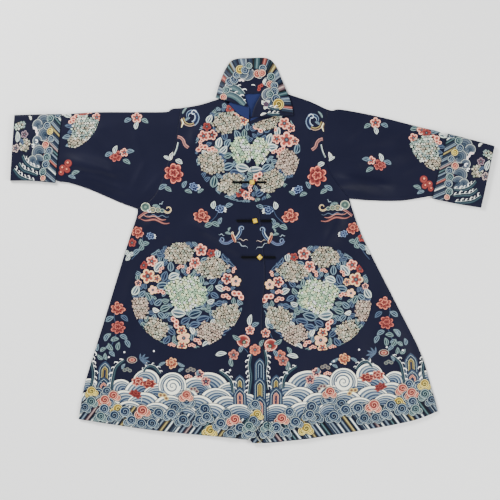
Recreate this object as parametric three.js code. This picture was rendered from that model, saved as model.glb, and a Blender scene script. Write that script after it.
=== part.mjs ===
// An embroidered silk robe, reworked as a short open-fronted coat and laid flat, front side up.
// Millimetres, +Z up. X runs towards the wearer's left, Y towards the collar.
// The origin is on the surface below the middle of the outline.
import * as THREE from "three";

// Driving sizes of the cloth
const WALL = 1.8; // silk satin, embroidery, interlining and lining together
const SILK = 1.0; // the plain silk of the neck lining and the stand
const COLLAR_WALL = 2.4; // two embroidered layers with their interlining
const SEAM = 0.5; // clearance at a seam, in plan
const LAY = 0.6; // clearance between layers that lie on each other
const REST_LOFT = 2.0; // how far the uncreased front lies above the back
const HUSHED = 45; // the loft dies away this near a seamed or folded edge
const OVERLAP = 26; // how far the wearer's right front laps over the left one
const HEM_INSET = 2; // the back's hem lies this far inside the front's

// Outlines of the body in plan, each from the hem upwards or from the side inwards
const SIDE_RIGHT = [
  { x: -478, y: -465 },
  { x: -468, y: -402 },
  { x: -455, y: -347 },
  { x: -400, y: -170 },
  { x: -346.5, y: 6 },
  { x: -319, y: 90 },
  { x: -316, y: 113 },
];
const SIDE_LEFT = [
  { x: 510, y: -443 },
  { x: 489, y: -369 },
  { x: 461, y: -280 },
  { x: 395, y: -148 },
  { x: 306, y: 28 },
  { x: 275, y: 110 },
  { x: 266, y: 141 },
];
const ARMHOLE_RIGHT = [
  { x: -316, y: 113 },
  { x: -266, y: 154 },
  { x: -230, y: 247 },
  { x: -212, y: 297 },
  { x: -197, y: 390 },
];
const ARMHOLE_LEFT = [
  { x: 266, y: 141 },
  { x: 210, y: 220 },
  { x: 195, y: 302 },
  { x: 207, y: 386 },
];
const SHOULDER_RIGHT = [
  { x: -197, y: 390 },
  { x: -145, y: 399 },
  { x: -84, y: 418 },
];
const SHOULDER_LEFT = [
  { x: 207, y: 386 },
  { x: 157, y: 405 },
  { x: 90, y: 421 },
];
const NECK_RIGHT = [
  { x: -84, y: 418 },
  { x: -65, y: 400 },
  { x: -38, y: 373 },
  { x: -9, y: 357 },
];
const NECK_LEFT = [
  { x: 90, y: 421 },
  { x: 61, y: 371 },
  { x: 25, y: 356 },
  { x: -33, y: 335 },
];
const NECK_BACK = [
  { x: -84, y: 418 },
  { x: -50, y: 432 },
  { x: 0, y: 438 },
  { x: 50, y: 437 },
  { x: 90, y: 421 },
];
const HEM_RIGHT = [
  { x: -478, y: -465 },
  { x: -283, y: -494 },
  { x: -118, y: -511 },
  { x: -14, y: -521 },
  { x: 0, y: -530 },
  { x: 42, y: -530 },
];
const HEM_LEFT = [
  { x: 17, y: -527 },
  { x: 75, y: -526 },
  { x: 267, y: -501 },
  { x: 432, y: -471 },
  { x: 510, y: -443 },
];
// The free edge of the wearer's right front, from the hem up to the neck
const FRONT_EDGE = [
  { x: 42, y: -530 },
  { x: 44, y: -440 },
  { x: 31, y: -289 },
  { x: 26, y: -190 },
  { x: 34, y: -62 },
  { x: 25, y: 40 },
  { x: 19, y: 107 },
  { x: 1, y: 187 },
  { x: -7, y: 290 },
  { x: -9, y: 357 },
];

// Outlines of the sleeves, from the armhole to the wrist
const SLEEVE_RIGHT = {
  top: [
    { x: -197, y: 390 },
    { x: -222, y: 388 },
    { x: -236, y: 380 },
    { x: -310, y: 379 },
    { x: -420, y: 379 },
    { x: -475, y: 376 },
    { x: -512, y: 373 },
    { x: -548, y: 364 },
    { x: -650, y: 363 },
  ],
  bottom: [
    { x: -316, y: 113 },
    { x: -365, y: 131 },
    { x: -447, y: 166 },
    { x: -502, y: 184 },
    { x: -530, y: 188 },
    { x: -566, y: 197 },
    { x: -659, y: 199 },
  ],
};
const SLEEVE_LEFT = {
  top: [
    { x: 207, y: 386 },
    { x: 222, y: 383 },
    { x: 245, y: 386 },
    { x: 350, y: 366 },
    { x: 460, y: 338 },
    { x: 510, y: 326 },
    { x: 548, y: 307 },
    { x: 656, y: 278 },
  ],
  bottom: [
    { x: 266, y: 141 },
    { x: 322, y: 136 },
    { x: 405, y: 135 },
    { x: 468, y: 144 },
    { x: 506, y: 147 },
    { x: 622, y: 126 },
  ],
};
// Each turned-back cuff, from its free edge to the wrist
const CUFF_RIGHT = {
  top: [
    { x: -524, y: 374 },
    { x: -590, y: 373 },
    { x: -654, y: 371 },
  ],
  bottom: [
    { x: -542, y: 184 },
    { x: -610, y: 190 },
    { x: -666, y: 190 },
  ],
};
const CUFF_LEFT = {
  top: [
    { x: 537, y: 320 },
    { x: 600, y: 304 },
    { x: 665, y: 286 },
  ],
  bottom: [
    { x: 494, y: 141 },
    { x: 560, y: 127 },
    { x: 628, y: 116 },
  ],
};

// The collar, section by section from the wearer's right point round the back to the left point:
// where it is sewn on or rolls over (inner), its free edge (outer), and the height of its underside at both
const COLLAR = [
  { innerX: -14, innerY: 393, outerX: -102, outerY: 418, innerZ: 8.2, outerZ: 6.6 },
  { innerX: -18, innerY: 410, outerX: -90, outerY: 460, innerZ: 7, outerZ: 3 },
  { innerX: -22, innerY: 426, outerX: -72, outerY: 502, innerZ: 5, outerZ: 1 },
  { innerX: -14, innerY: 429, outerX: -55, outerY: 522, innerZ: 3.6, outerZ: 0.5 },
  { innerX: -2, innerY: 429, outerX: -5, outerY: 528, innerZ: 3.5, outerZ: 0.3 },
  { innerX: 12, innerY: 430, outerX: 44, outerY: 526, innerZ: 3.5, outerZ: 0.3 },
  { innerX: 24, innerY: 431, outerX: 61, outerY: 511, innerZ: 4.2, outerZ: 0.8 },
  { innerX: 18, innerY: 418, outerX: 81, outerY: 467, innerZ: 5.8, outerZ: 3.2 },
  { innerX: 9, innerY: 402, outerX: 99, outerY: 424, innerZ: 7.4, outerZ: 6.4 },
  { innerX: 2, innerY: 385, outerX: 109, outerY: 393, innerZ: 8, outerZ: 7 },
  { innerX: -3, innerY: 364, outerX: 113, outerY: 370, innerZ: 8.2, outerZ: 7.2 },
];
const COLLAR_ROLL = 3.5; // how far the middle of the collar's width crowns up

// The silk stand that shows between each front's neckline and the collar: which of the
// neckline's points it is sewn to, the way out of the seam, and its upper edge
const STAND_RIGHT = {
  neck: NECK_RIGHT,
  from: 2,
  to: 8,
  out: { x: 0.28, y: 0.36 },
  rise: [
    { x: -60, y: 411 },
    { x: -30, y: 404 },
    { x: -9, y: 392 },
  ],
};
const STAND_LEFT = {
  neck: NECK_LEFT,
  from: 7,
  to: 3,
  out: { x: -0.16, y: 0.42 },
  rise: [
    { x: -4, y: 361 },
    { x: 20, y: 373 },
    { x: 50, y: 388 },
  ],
};
const STAND_RISE = 2.2; // the stand climbs this far under the collar

// The largest folds: each a soft ridge from one end to the other
const FOLDS = [
  { x0: -515, y0: 254, x1: -345, y1: 205, height: 8, width: 17 },
  { x0: -450, y0: 336, x1: -368, y1: 250, height: 4, width: 22 },
  { x0: -470, y0: 206, x1: -330, y1: 150, height: 5, width: 15 },
  { x0: 222, y0: 200, x1: 385, y1: 170, height: 10, width: 17 },
  { x0: 235, y0: 278, x1: 405, y1: 318, height: 3.5, width: 20 },
  { x0: 268, y0: 240, x1: 440, y1: 268, height: 4, width: 20 },
  { x0: 420, y0: 300, x1: 520, y1: 190, height: 3, width: 26 },
  { x0: -175, y0: 84, x1: -6, y1: -22, height: 6, width: 18 },
  { x0: 46, y0: -44, x1: 150, y1: 26, height: 3, width: 20 },
  { x0: -300, y0: 96, x1: -232, y1: 10, height: 4.5, width: 22 },
  { x0: 250, y0: 120, x1: 205, y1: 8, height: 4.5, width: 22 },
  { x0: -120, y0: 360, x1: -186, y1: 262, height: 3, width: 24 },
  { x0: 128, y0: 366, x1: 172, y1: 280, height: 3, width: 24 },
  { x0: -372, y0: -90, x1: -415, y1: -440, height: 4, width: 34 },
  { x0: -225, y0: -300, x1: -245, y1: -520, height: 5, width: 34 },
  { x0: -62, y0: -150, x1: -84, y1: -530, height: 4, width: 30 },
  { x0: 118, y0: -280, x1: 140, y1: -540, height: 5, width: 34 },
  { x0: 268, y0: -190, x1: 330, y1: -510, height: 4.5, width: 36 },
  { x0: 374, y0: -150, x1: 455, y1: -420, height: 4, width: 30 },
  { x0: -20, y0: -60, x1: -30, y1: -220, height: 2.5, width: 22 },
];

// Three closures down the front: where each gilt button sits, its turn, and how far its silk bars reach
const CLOSURES = [
  { x: -1, y: 186, turn: 5, loopBar: 45, knobBar: 30 },
  { x: 7, y: 80, turn: 12, loopBar: 42, knobBar: 30 },
  { x: 20, y: -20, turn: 45, loopBar: 42, knobBar: 30 },
];
const BUTTON = { side: 12.5, corner: 2.2, height: 5, bevel: 1.6, boss: 3.4 };
const BAR = { width: 4.6, height: 2.4, fromButton: 9.5, fromEdge: 2 };
const SEWN = 0.3; // clearance below what is sewn on top of a panel

const smooth = THREE.MathUtils.smoothstep;
const lerp = THREE.MathUtils.lerp;
const vec = (row) => new THREE.Vector2(row.x, row.y);

// A spline through a table's rows, as steps + 1 points evenly spaced along it
function rail(rows, steps) {
  return new THREE.SplineCurve(rows.map(vec)).getSpacedPoints(steps);
}

const joined = (...rails) =>
  rails.flatMap((points, k) => (k ? points.slice(1) : points));
const moved = (points, dx, dy) =>
  points.map((p) => new THREE.Vector2(p.x + dx, p.y + dy));
const reversed = (points) => points.slice().reverse();

// Fills a four-sided outline with a grid of points in plan, grid[i][j]: i along the
// low and high rails, j along the near and far ones
function patch(low, high, near, far) {
  const across = low.length - 1;
  const along = near.length - 1;
  return low.map((_, i) =>
    near.map((_, j) => {
      const s = i / across;
      const t = j / along;
      const place = (axis) =>
        (1 - t) * low[i][axis] +
        t * high[i][axis] +
        (1 - s) * near[j][axis] +
        s * far[j][axis] -
        ((1 - s) * (1 - t) * low[0][axis] +
          s * (1 - t) * low[across][axis] +
          (1 - s) * t * high[0][axis] +
          s * t * high[across][axis]);
      return new THREE.Vector2(place("x"), place("y"));
    }),
  );
}

// Distance from a point to a segment, and how far along it the nearest point is
function toSegment(x, y, ax, ay, bx, by) {
  const dx = bx - ax;
  const dy = by - ay;
  const along = ((x - ax) * dx + (y - ay) * dy) / (dx * dx + dy * dy);
  const held = THREE.MathUtils.clamp(along, 0, 1);
  return { away: Math.hypot(x - ax - held * dx, y - ay - held * dy), along: held };
}

const STEPS = { side: 20, armhole: 10, shoulder: 8, neck: 8 };
const armholeRight = rail(ARMHOLE_RIGHT, STEPS.armhole);
const armholeLeft = rail(ARMHOLE_LEFT, STEPS.armhole);
const sideRight = rail(SIDE_RIGHT, STEPS.side);
const sideLeft = rail(SIDE_LEFT, STEPS.side);
const shoulderRight = rail(SHOULDER_RIGHT, STEPS.shoulder);
const shoulderLeft = rail(SHOULDER_LEFT, STEPS.shoulder);
const frontEdge = rail(FRONT_EDGE, STEPS.side + STEPS.armhole);

// Every edge where the front is seamed or folded to the back, so that it can't stand off it
const heldEdges = [
  sideRight,
  sideLeft,
  shoulderRight,
  shoulderLeft,
  ...[SLEEVE_RIGHT, SLEEVE_LEFT].flatMap((s) => [rail(s.top, 12), rail(s.bottom, 12)]),
];

function heldAt(x, y) {
  let nearest = Infinity;
  for (const edge of heldEdges)
    for (let k = 1; k < edge.length; k++) {
      const a = edge[k - 1];
      const b = edge[k];
      nearest = Math.min(nearest, toSegment(x, y, a.x, a.y, b.x, b.y).away);
    }
  return nearest;
}

// How far the upper layer stands off the lower one: the rest loft and every fold
function loft(x, y) {
  let height = REST_LOFT;
  for (const f of FOLDS) {
    const { away, along } = toSegment(x, y, f.x0, f.y0, f.x1, f.y1);
    const fade = smooth(along, -0.1, 0.3) * smooth(1 - along, -0.1, 0.3);
    height += f.height * Math.exp(-((away / f.width) ** 2)) * fade;
  }
  return height * lerp(0.1, 1, smooth(heldAt(x, y), 0, HUSHED));
}

// Where the free front edge is at a given height up the robe
function edgeX(y) {
  const k = frontEdge.findIndex((p, i) => i > 0 && p.y >= y);
  if (k < 1) return frontEdge[y < 0 ? 0 : frontEdge.length - 1].x;
  const a = frontEdge[k - 1];
  const b = frontEdge[k];
  return lerp(a.x, b.x, (y - a.y) / (b.y - a.y));
}

// The wearer's right front climbs over the left one near its free edge
const climb = (x, y) =>
  (WALL + LAY) * smooth(x, edgeX(y) - 3.2 * OVERLAP, edgeX(y) - 1.4 * OVERLAP);
const frontUnder = (x, y) => WALL + LAY + loft(x, y);
const lapUnder = (x, y) => frontUnder(x, y) + climb(x, y);

// Turns rows of points, each a closed ring or an open line, into triangles
class Skin {
  constructor() {
    this.points = [];
    this.faces = [];
  }
  add(x, y, z) {
    this.points.push(x, y, z);
    return this.points.length / 3 - 1;
  }
  quad(a, b, c, d) {
    this.faces.push(a, b, c, a, c, d);
  }
  geometry() {
    const made = new THREE.BufferGeometry();
    made.setAttribute("position", new THREE.Float32BufferAttribute(this.points, 3));
    made.setIndex(this.faces);
    made.computeVertexNormals();
    return made;
  }
}

// A flat-lying panel: a wall between its underside and its top over a grid in plan.
// The grid turns anticlockwise seen from above: i eastwards and j northwards.
function panel(grid, under, thickness) {
  const skin = new Skin();
  const across = grid.length - 1;
  const along = grid[0].length - 1;
  const low = [];
  const high = [];
  grid.forEach((column, i) => {
    low.push(column.map((p, j) => skin.add(p.x, p.y, under(p.x, p.y, i / across, j / along))));
    high.push(
      column.map((p, j) =>
        skin.add(p.x, p.y, under(p.x, p.y, i / across, j / along) + thickness),
      ),
    );
  });
  for (let i = 0; i < across; i++)
    for (let j = 0; j < along; j++) {
      skin.quad(high[i][j], high[i + 1][j], high[i + 1][j + 1], high[i][j + 1]);
      skin.quad(low[i][j], low[i][j + 1], low[i + 1][j + 1], low[i + 1][j]);
    }
  for (let i = 0; i < across; i++) {
    skin.quad(low[i][0], low[i + 1][0], high[i + 1][0], high[i][0]);
    skin.quad(high[i][along], high[i + 1][along], low[i + 1][along], low[i][along]);
  }
  for (let j = 0; j < along; j++) {
    skin.quad(high[0][j], high[0][j + 1], low[0][j + 1], low[0][j]);
    skin.quad(low[across][j], low[across][j + 1], high[across][j + 1], high[across][j]);
  }
  return skin.geometry();
}

// A flattened tube: the grid's i runs from the underarm edge to the top fold and j from the
// armhole to the wrist. Each section is a ring down one layer, round the fold and back.
function tube(grid, under, over, turn) {
  const skin = new Skin();
  const last = grid.length - 1;
  const sections = grid[0].length;
  const between = (a, b, mm) => a.clone().lerp(b, mm / a.distanceTo(b));
  const ring = (j, inset, wall) => {
    const at = grid.map((column) => column[j]);
    const folds = [between(at[0], at[1], inset), between(at[last], at[last - 1], inset)];
    const flat = at.slice();
    flat[0] = between(at[0], at[1], inset + turn);
    flat[last] = between(at[last], at[last - 1], inset + turn);
    const middle = (p) => (under(p.x, p.y) + over(p.x, p.y)) / 2;
    return [
      skin.add(folds[0].x, folds[0].y, middle(folds[0])),
      ...flat.map((p) => skin.add(p.x, p.y, under(p.x, p.y) + wall)),
      skin.add(folds[1].x, folds[1].y, middle(folds[1])),
      ...reversed(flat).map((p) => skin.add(p.x, p.y, over(p.x, p.y) - wall)),
    ];
  };
  const outer = [];
  const inner = [];
  for (let j = 0; j < sections; j++) {
    outer.push(ring(j, 0, 0));
    inner.push(ring(j, WALL + LAY, WALL));
  }
  const count = outer[0].length;
  for (let k = 0; k < count; k++) {
    const n = (k + 1) % count;
    for (let j = 0; j < sections - 1; j++) {
      skin.quad(outer[j][k], outer[j][n], outer[j + 1][n], outer[j + 1][k]);
      skin.quad(inner[j][k], inner[j + 1][k], inner[j + 1][n], inner[j][n]);
    }
    skin.quad(outer[0][n], outer[0][k], inner[0][k], inner[0][n]);
    const e = sections - 1;
    skin.quad(outer[e][k], outer[e][n], inner[e][n], inner[e][k]);
  }
  return skin.geometry();
}

// A mirrored grid would turn the tube inside out, so its faces are turned back
function turnedOut(geometry) {
  const index = geometry.getIndex();
  for (let k = 0; k < index.count; k += 3) {
    const second = index.getX(k + 1);
    index.setX(k + 1, index.getX(k + 2));
    index.setX(k + 2, second);
  }
  geometry.computeVertexNormals();
  return geometry;
}

const satin = new THREE.MeshStandardMaterial({ color: 0x1b1f38, roughness: 0.55 });
const wavework = new THREE.MeshStandardMaterial({ color: 0x6f8593, roughness: 0.5 });
const blueSilk = new THREE.MeshStandardMaterial({ color: 0x39478c, roughness: 0.5 });
const silkCord = new THREE.MeshStandardMaterial({ color: 0x0f111c, roughness: 0.6 });
const gilt = new THREE.MeshStandardMaterial({ color: 0xe8c34a, roughness: 0.3, metalness: 1 });

const robe = new THREE.Group();

function sew(name, geometry, material) {
  const mesh = new THREE.Mesh(geometry, material);
  mesh.name = name;
  robe.add(mesh);
}

function backPanel() {
  const topSteps = 2 * STEPS.shoulder;
  const hem = rail([...HEM_RIGHT.slice(0, 3), ...HEM_LEFT.slice(1)], topSteps);
  const top = joined(
    rail(SHOULDER_RIGHT, topSteps / 4),
    rail(NECK_BACK, topSteps / 2),
    reversed(rail(SHOULDER_LEFT, topSteps / 4)),
  );
  const near = joined(rail(SIDE_RIGHT, 10), armholeRight);
  const far = joined(rail(SIDE_LEFT, 10), armholeLeft);
  // Pulled in a little at the hem, so that the fronts cover it
  const grid = patch(moved(hem, 0, HEM_INSET), top, near, far);
  sew("back", panel(grid, () => 0, WALL), satin);
}

function neckLining() {
  const low = rail([{ x: -50, y: 346 }, { x: 0, y: 340 }, { x: 56, y: 346 }], 6);
  const high = rail([{ x: -50, y: 422 }, { x: 0, y: 434 }, { x: 56, y: 424 }], 6);
  const near = rail([{ x: -50, y: 346 }, { x: -50, y: 422 }], 5);
  const far = rail([{ x: 56, y: 346 }, { x: 56, y: 424 }], 5);
  sew("neck_lining", panel(patch(low, high, near, far), () => WALL + SEWN, SILK), blueSilk);
}

function fronts() {
  const steps = STEPS.shoulder + STEPS.neck;
  const right = patch(
    rail(HEM_RIGHT, steps),
    joined(shoulderRight, rail(NECK_RIGHT, STEPS.neck)),
    joined(sideRight, armholeRight),
    frontEdge,
  );
  sew("front_right", panel(right, lapUnder, WALL), satin);
  const hidden = moved(frontEdge, -OVERLAP, 0);
  hidden[0].set(HEM_LEFT[0].x, HEM_LEFT[0].y);
  hidden[hidden.length - 1].set(NECK_LEFT[3].x, NECK_LEFT[3].y);
  const left = patch(
    rail(HEM_LEFT, steps),
    joined(reversed(rail(NECK_LEFT, STEPS.neck)), reversed(shoulderLeft)),
    hidden,
    joined(sideLeft, armholeLeft),
  );
  sew("front_left", panel(left, frontUnder, WALL), satin);
}

// How far inside a cuff a point is, from its free edge towards the wrist
function insideCuff(cuff, x, y) {
  const a = cuff.top[0];
  const b = cuff.bottom[0];
  const outwards = Math.sign(cuff.top[2].x);
  const length = Math.hypot(b.x - a.x, b.y - a.y);
  const side = ((b.y - a.y) * (x - a.x) - (b.x - a.x) * (y - a.y)) / length;
  return -side * outwards;
}

const CUFF_LIFT = WALL + LAY; // the sleeve rides on the cuff's lower layer
const CUFF_APPROACH = 70; // over which the sleeve lifts off the surface

function sleeve(side, outline, armhole, cuff, outwards) {
  const along = 18;
  const wrist = rail([outline.bottom.at(-1), outline.top.at(-1)], STEPS.armhole);
  const grid = patch(
    rail(outline.bottom, along),
    rail(outline.top, along),
    moved(armhole, outwards * SEAM, 0),
    wrist,
  );
  // The patch has the armhole along j, and the tube needs it across
  const across = armhole.map((_, i) => grid.map((column) => column[i]));
  const lift = (x, y) => CUFF_LIFT * smooth(insideCuff(cuff, x, y), -CUFF_APPROACH, -3);
  const under = (x, y) => lift(x, y);
  const over = (x, y) => lift(x, y) + 2 * WALL + LAY + loft(x, y);
  const made = tube(across, under, over, 2);
  sew(`sleeve_${side}`, outwards < 0 ? turnedOut(made) : made, satin);
}

function cuff(side, outline, outwards) {
  const along = 5;
  const across = STEPS.armhole;
  const grid = patch(
    rail(outline.bottom, along),
    rail(outline.top, along),
    rail([outline.bottom[0], outline.top[0]], across),
    rail([outline.bottom.at(-1), outline.top.at(-1)], across),
  );
  const turned = grid[0].map((_, i) => grid.map((column) => column[i]));
  const over = (x, y) => 4 * WALL + 3 * LAY + loft(x, y);
  const made = tube(turned, () => 0, over, 2);
  sew(`cuff_${side}`, outwards < 0 ? turnedOut(made) : made, wavework);
}

function collar() {
  const along = 34;
  const across = 6;
  const curve = (x, y, z) =>
    new THREE.CatmullRomCurve3(
      COLLAR.map((row) => new THREE.Vector3(row[x], row[y], row[z])),
      false,
      "centripetal",
    );
  const inner = curve("innerX", "innerY", "innerZ");
  const outer = curve("outerX", "outerY", "outerZ");
  const grid = [];
  const heights = [];
  for (let i = 0; i <= along; i++) {
    const a = outer.getPoint(i / along);
    const b = inner.getPoint(i / along);
    const column = [];
    const rise = [];
    for (let j = 0; j <= across; j++) {
      const t = j / across;
      const p = b.clone().lerp(a, t);
      column.push(new THREE.Vector2(p.x, p.y));
      rise.push(p.z + COLLAR_ROLL * Math.sin(Math.PI * t) ** 2);
    }
    grid.push(column);
    heights.push(rise);
  }
  const under = (x, y, s, t) => heights[Math.round(s * along)][Math.round(t * across)];
  sew("collar", panel(grid, under, COLLAR_WALL), wavework);
}

function stand(side, { neck, from, to, out, rise }, base) {
  const points = rail(neck, STEPS.neck);
  const steps = Math.abs(to - from);
  const seam = Array.from({ length: steps + 1 }, (_, k) =>
    points[from + k * Math.sign(to - from)].clone().add(vec(out)),
  );
  const grid = patch(
    seam,
    rail(rise, steps),
    rail([seam[0], rise[0]], 2),
    rail([seam[steps], rise.at(-1)], 2),
  );
  const top = frontUnder(0, 350) + STAND_RISE;
  const under = (x, y, s, t) => lerp(base(x, y), top, t * t);
  sew(`stand_${side}`, panel(grid, under, SILK), blueSilk);
}

// A silk bar that lies on the cloth, with round ends
function bar(name, fromX, toX, y, under) {
  const steps = 10;
  const half = BAR.width / 2;
  const [west, east] = [Math.min(fromX, toX), Math.max(fromX, toX)];
  const grid = [];
  for (let i = 0; i <= steps; i++) {
    const x = west + ((east - west) * (1 - Math.cos((Math.PI * i) / steps))) / 2;
    const end = Math.min(x - west, east - x);
    const reach = end >= half ? 1 : Math.sqrt(1 - (1 - end / half) ** 2);
    const wide = half * Math.max(reach, 0.35);
    grid.push([-1, 0, 1].map((k) => new THREE.Vector2(x, y + k * wide)));
  }
  sew(name, panel(grid, (px, py) => under(px, py) + WALL + SEWN, BAR.height), silkCord);
}

function button(name, row) {
  const { side, corner, height, bevel, boss } = BUTTON;
  const half = side / 2;
  // A square with rounded corners, stacked as a bevelled cushion with a boss on top
  const outline = (scale) => {
    const ring = [];
    for (let q = 0; q < 4; q++)
      for (let k = 0; k <= 2; k++) {
        const turn = (q + k / 2) * (Math.PI / 2);
        const mid = (q + 0.5) * (Math.PI / 2);
        const out = (half - corner) * Math.SQRT2;
        ring.push([
          scale * (Math.cos(mid) * out + Math.cos(turn) * corner),
          scale * (Math.sin(mid) * out + Math.sin(turn) * corner),
        ]);
      }
    return ring;
  };
  const levels = [
    [0.82, 0],
    [1, bevel],
    [1, height - bevel],
    [0.8, height],
    [boss / half, height],
    [boss / half, height + 0.6],
    [(0.6 * boss) / half, height + 1.1],
  ];
  const skin = new Skin();
  const rings = levels.map(([scale, z]) => outline(scale).map(([x, y]) => skin.add(x, y, z)));
  const count = rings[0].length;
  for (let r = 1; r < rings.length; r++)
    for (let k = 0; k < count; k++) {
      const n = (k + 1) % count;
      skin.quad(rings[r - 1][k], rings[r - 1][n], rings[r][n], rings[r][k]);
    }
  const cap = (ring, z, up) => {
    const middle = skin.add(0, 0, z);
    ring.forEach((a, k) => {
      const b = ring[(k + 1) % count];
      skin.faces.push(...(up ? [a, b, middle] : [b, a, middle]));
    });
  };
  cap(rings[0], 0, false);
  cap(rings.at(-1), levels.at(-1)[1], true);
  const geometry = skin.geometry();
  geometry.rotateZ(THREE.MathUtils.degToRad(row.turn));
  // It rests on the highest cloth below it
  let seat = 0;
  for (let dx = -half; dx <= half; dx += half / 2)
    for (let dy = -half; dy <= half; dy += half / 2)
      seat = Math.max(seat, lapUnder(row.x + dx, row.y + dy) + WALL);
  geometry.translate(row.x, row.y, seat + SEWN);
  sew(name, geometry, gilt);
}

backPanel();
neckLining();
fronts();
sleeve("right", SLEEVE_RIGHT, armholeRight, CUFF_RIGHT, -1);
sleeve("left", SLEEVE_LEFT, armholeLeft, CUFF_LEFT, 1);
cuff("right", CUFF_RIGHT, -1);
cuff("left", CUFF_LEFT, 1);
stand("right", STAND_RIGHT, lapUnder);
stand("left", STAND_LEFT, frontUnder);
collar();
CLOSURES.forEach((row, k) => {
  const number = k + 1;
  const loopEnd = row.x - BAR.fromButton;
  const knobEnd = Math.max(row.x + BAR.fromButton, edgeX(row.y) + BAR.fromEdge);
  bar(`loop_bar_${number}`, loopEnd - row.loopBar, loopEnd, row.y, lapUnder);
  bar(`knob_bar_${number}`, knobEnd, knobEnd + row.knobBar, row.y, frontUnder);
  button(`button_${number}`, row);
});

export default robe;
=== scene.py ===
import math
import random

import bpy
import numpy as np
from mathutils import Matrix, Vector
from mathutils.bvhtree import BVHTree


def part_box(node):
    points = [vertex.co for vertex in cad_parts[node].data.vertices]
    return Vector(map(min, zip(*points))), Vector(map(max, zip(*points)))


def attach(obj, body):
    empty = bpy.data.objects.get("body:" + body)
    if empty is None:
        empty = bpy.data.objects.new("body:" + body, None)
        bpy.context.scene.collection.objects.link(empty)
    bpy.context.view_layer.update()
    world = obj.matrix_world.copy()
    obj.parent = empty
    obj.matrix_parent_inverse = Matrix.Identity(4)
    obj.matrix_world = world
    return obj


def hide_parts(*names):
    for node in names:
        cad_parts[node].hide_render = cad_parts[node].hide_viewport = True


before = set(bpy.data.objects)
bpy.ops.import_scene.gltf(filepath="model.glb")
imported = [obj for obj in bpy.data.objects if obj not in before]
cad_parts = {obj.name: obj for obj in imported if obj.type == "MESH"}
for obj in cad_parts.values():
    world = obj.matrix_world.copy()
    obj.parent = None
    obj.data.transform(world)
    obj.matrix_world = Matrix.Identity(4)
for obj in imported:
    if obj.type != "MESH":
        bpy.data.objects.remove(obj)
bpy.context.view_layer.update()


# The camera looks straight down, as the photograph does, through a long lens.
# Everything in this script is worked out in millimetres and scaled once, when a mesh is made.
MM = 0.001
CAMERA_HEIGHT = 6000
PICTURE_WIDTH = 1375
PICTURE_CENTRE = (-6.9, 0)
SENSOR = 36

camera_data = bpy.data.cameras.new("camera")
camera_data.sensor_width = SENSOR
camera_data.lens = SENSOR * CAMERA_HEIGHT / PICTURE_WIDTH
camera = bpy.data.objects.new("camera", camera_data)
camera.location = (PICTURE_CENTRE[0] * MM, PICTURE_CENTRE[1] * MM, CAMERA_HEIGHT * MM)
bpy.context.scene.collection.objects.link(camera)
bpy.context.scene.camera = camera


# The back: one piece of navy silk satin from shoulders to hem, interlined and lined, its edges
# turned in. It lies flat on the surface and carries the fronts.
# A colour is written as the sRGB value that the eye sees and turned to linear once.
def linear(code):
    channels = [int(code[k : k + 2], 16) / 255 for k in (1, 3, 5)]
    return [c / 12.92 if c <= 0.04045 else ((c + 0.055) / 1.055) ** 2.4 for c in channels]


def shader_of(made):
    return made.node_tree.nodes["Principled BSDF"]


def material(name, **settings):
    made = bpy.data.materials.new(name)
    made.use_nodes = True
    for socket, value in settings.items():
        shader_of(made).inputs[socket.replace("_", " ")].default_value = value
    return made


def node(made, kind, links=(), **settings):
    """Adds a node. Links are (own input, other node's output); settings are its properties, or
    its inputs where they start with in_."""
    added = made.node_tree.nodes.new(kind)
    for key, value in settings.items():
        if key.startswith("in_"):
            added.inputs[key[3:].replace("_", " ")].default_value = value
        else:
            setattr(added, key, value)
    for own, output in links:
        made.node_tree.links.new(output, added.inputs[own])
    return added


def satin_material(name, colour, weft_mm, roughness, sheen):
    """Silk satin: a close weave that blurs the light, and slow differences in tone across the cloth."""
    made = material(
        name, Roughness=roughness, Sheen_Weight=sheen, Sheen_Roughness=0.4, Specular_IOR_Level=0.14
    )
    place = node(made, "ShaderNodeTexCoord").outputs["Object"]
    slow = node(made, "ShaderNodeTexNoise", [("Vector", place)], in_Scale=9.0, in_Detail=3.0)
    lighter = [min(1, c * 1.25 + 0.002) for c in linear(colour)]
    darker = [c * 0.85 for c in linear(colour)]
    tone = node(made, "ShaderNodeMix", [("Factor", slow.outputs["Fac"])], data_type="RGBA")
    tone.inputs[6].default_value = (*darker, 1)
    tone.inputs[7].default_value = (*lighter, 1)
    made.node_tree.links.new(tone.outputs[2], shader_of(made).inputs["Base Color"])
    weave = node(
        made,
        "ShaderNodeTexWave",
        [("Vector", place)],
        bands_direction="X",
        in_Scale=2 * math.pi / (20 * weft_mm * MM),
        in_Distortion=0.6,
    )
    height = [("Height", weave.outputs["Fac"])]
    bump = node(made, "ShaderNodeBump", height, in_Strength=0.12, in_Distance=0.1 * MM)
    made.node_tree.links.new(bump.outputs["Normal"], shader_of(made).inputs["Normal"])
    return made


NAVY_SATIN = satin_material("navy_silk_satin", "#0b0d22", weft_mm=0.5, roughness=0.5, sheen=0.0)
WALL = 1.8  # satin, embroidery, interlining and lining together

# Its lines in plan, each from the hem upwards or from the side inwards
SIDE_RIGHT = [(-478, -465), (-468, -402), (-455, -347), (-400, -170), (-346.5, 6), (-319, 90), (-316, 113)]
SIDE_LEFT = [(510, -443), (489, -369), (461, -280), (395, -148), (306, 28), (275, 110), (266, 141)]
ARMHOLE_RIGHT = [(-316, 113), (-266, 154), (-230, 247), (-212, 297), (-197, 390)]
ARMHOLE_LEFT = [(266, 141), (210, 220), (195, 302), (207, 386)]
SHOULDER_RIGHT = [(-197, 390), (-145, 399), (-84, 418)]
SHOULDER_LEFT = [(207, 386), (157, 405), (90, 421)]
NECK_BACK = [(-84, 418), (-50, 432), (0, 438), (50, 437), (90, 421)]
HEM_RIGHT = [(-478, -465), (-283, -494), (-118, -511), (-14, -521), (0, -530), (42, -530)]
HEM_LEFT = [(17, -527), (75, -526), (267, -501), (432, -471), (510, -443)]


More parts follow.
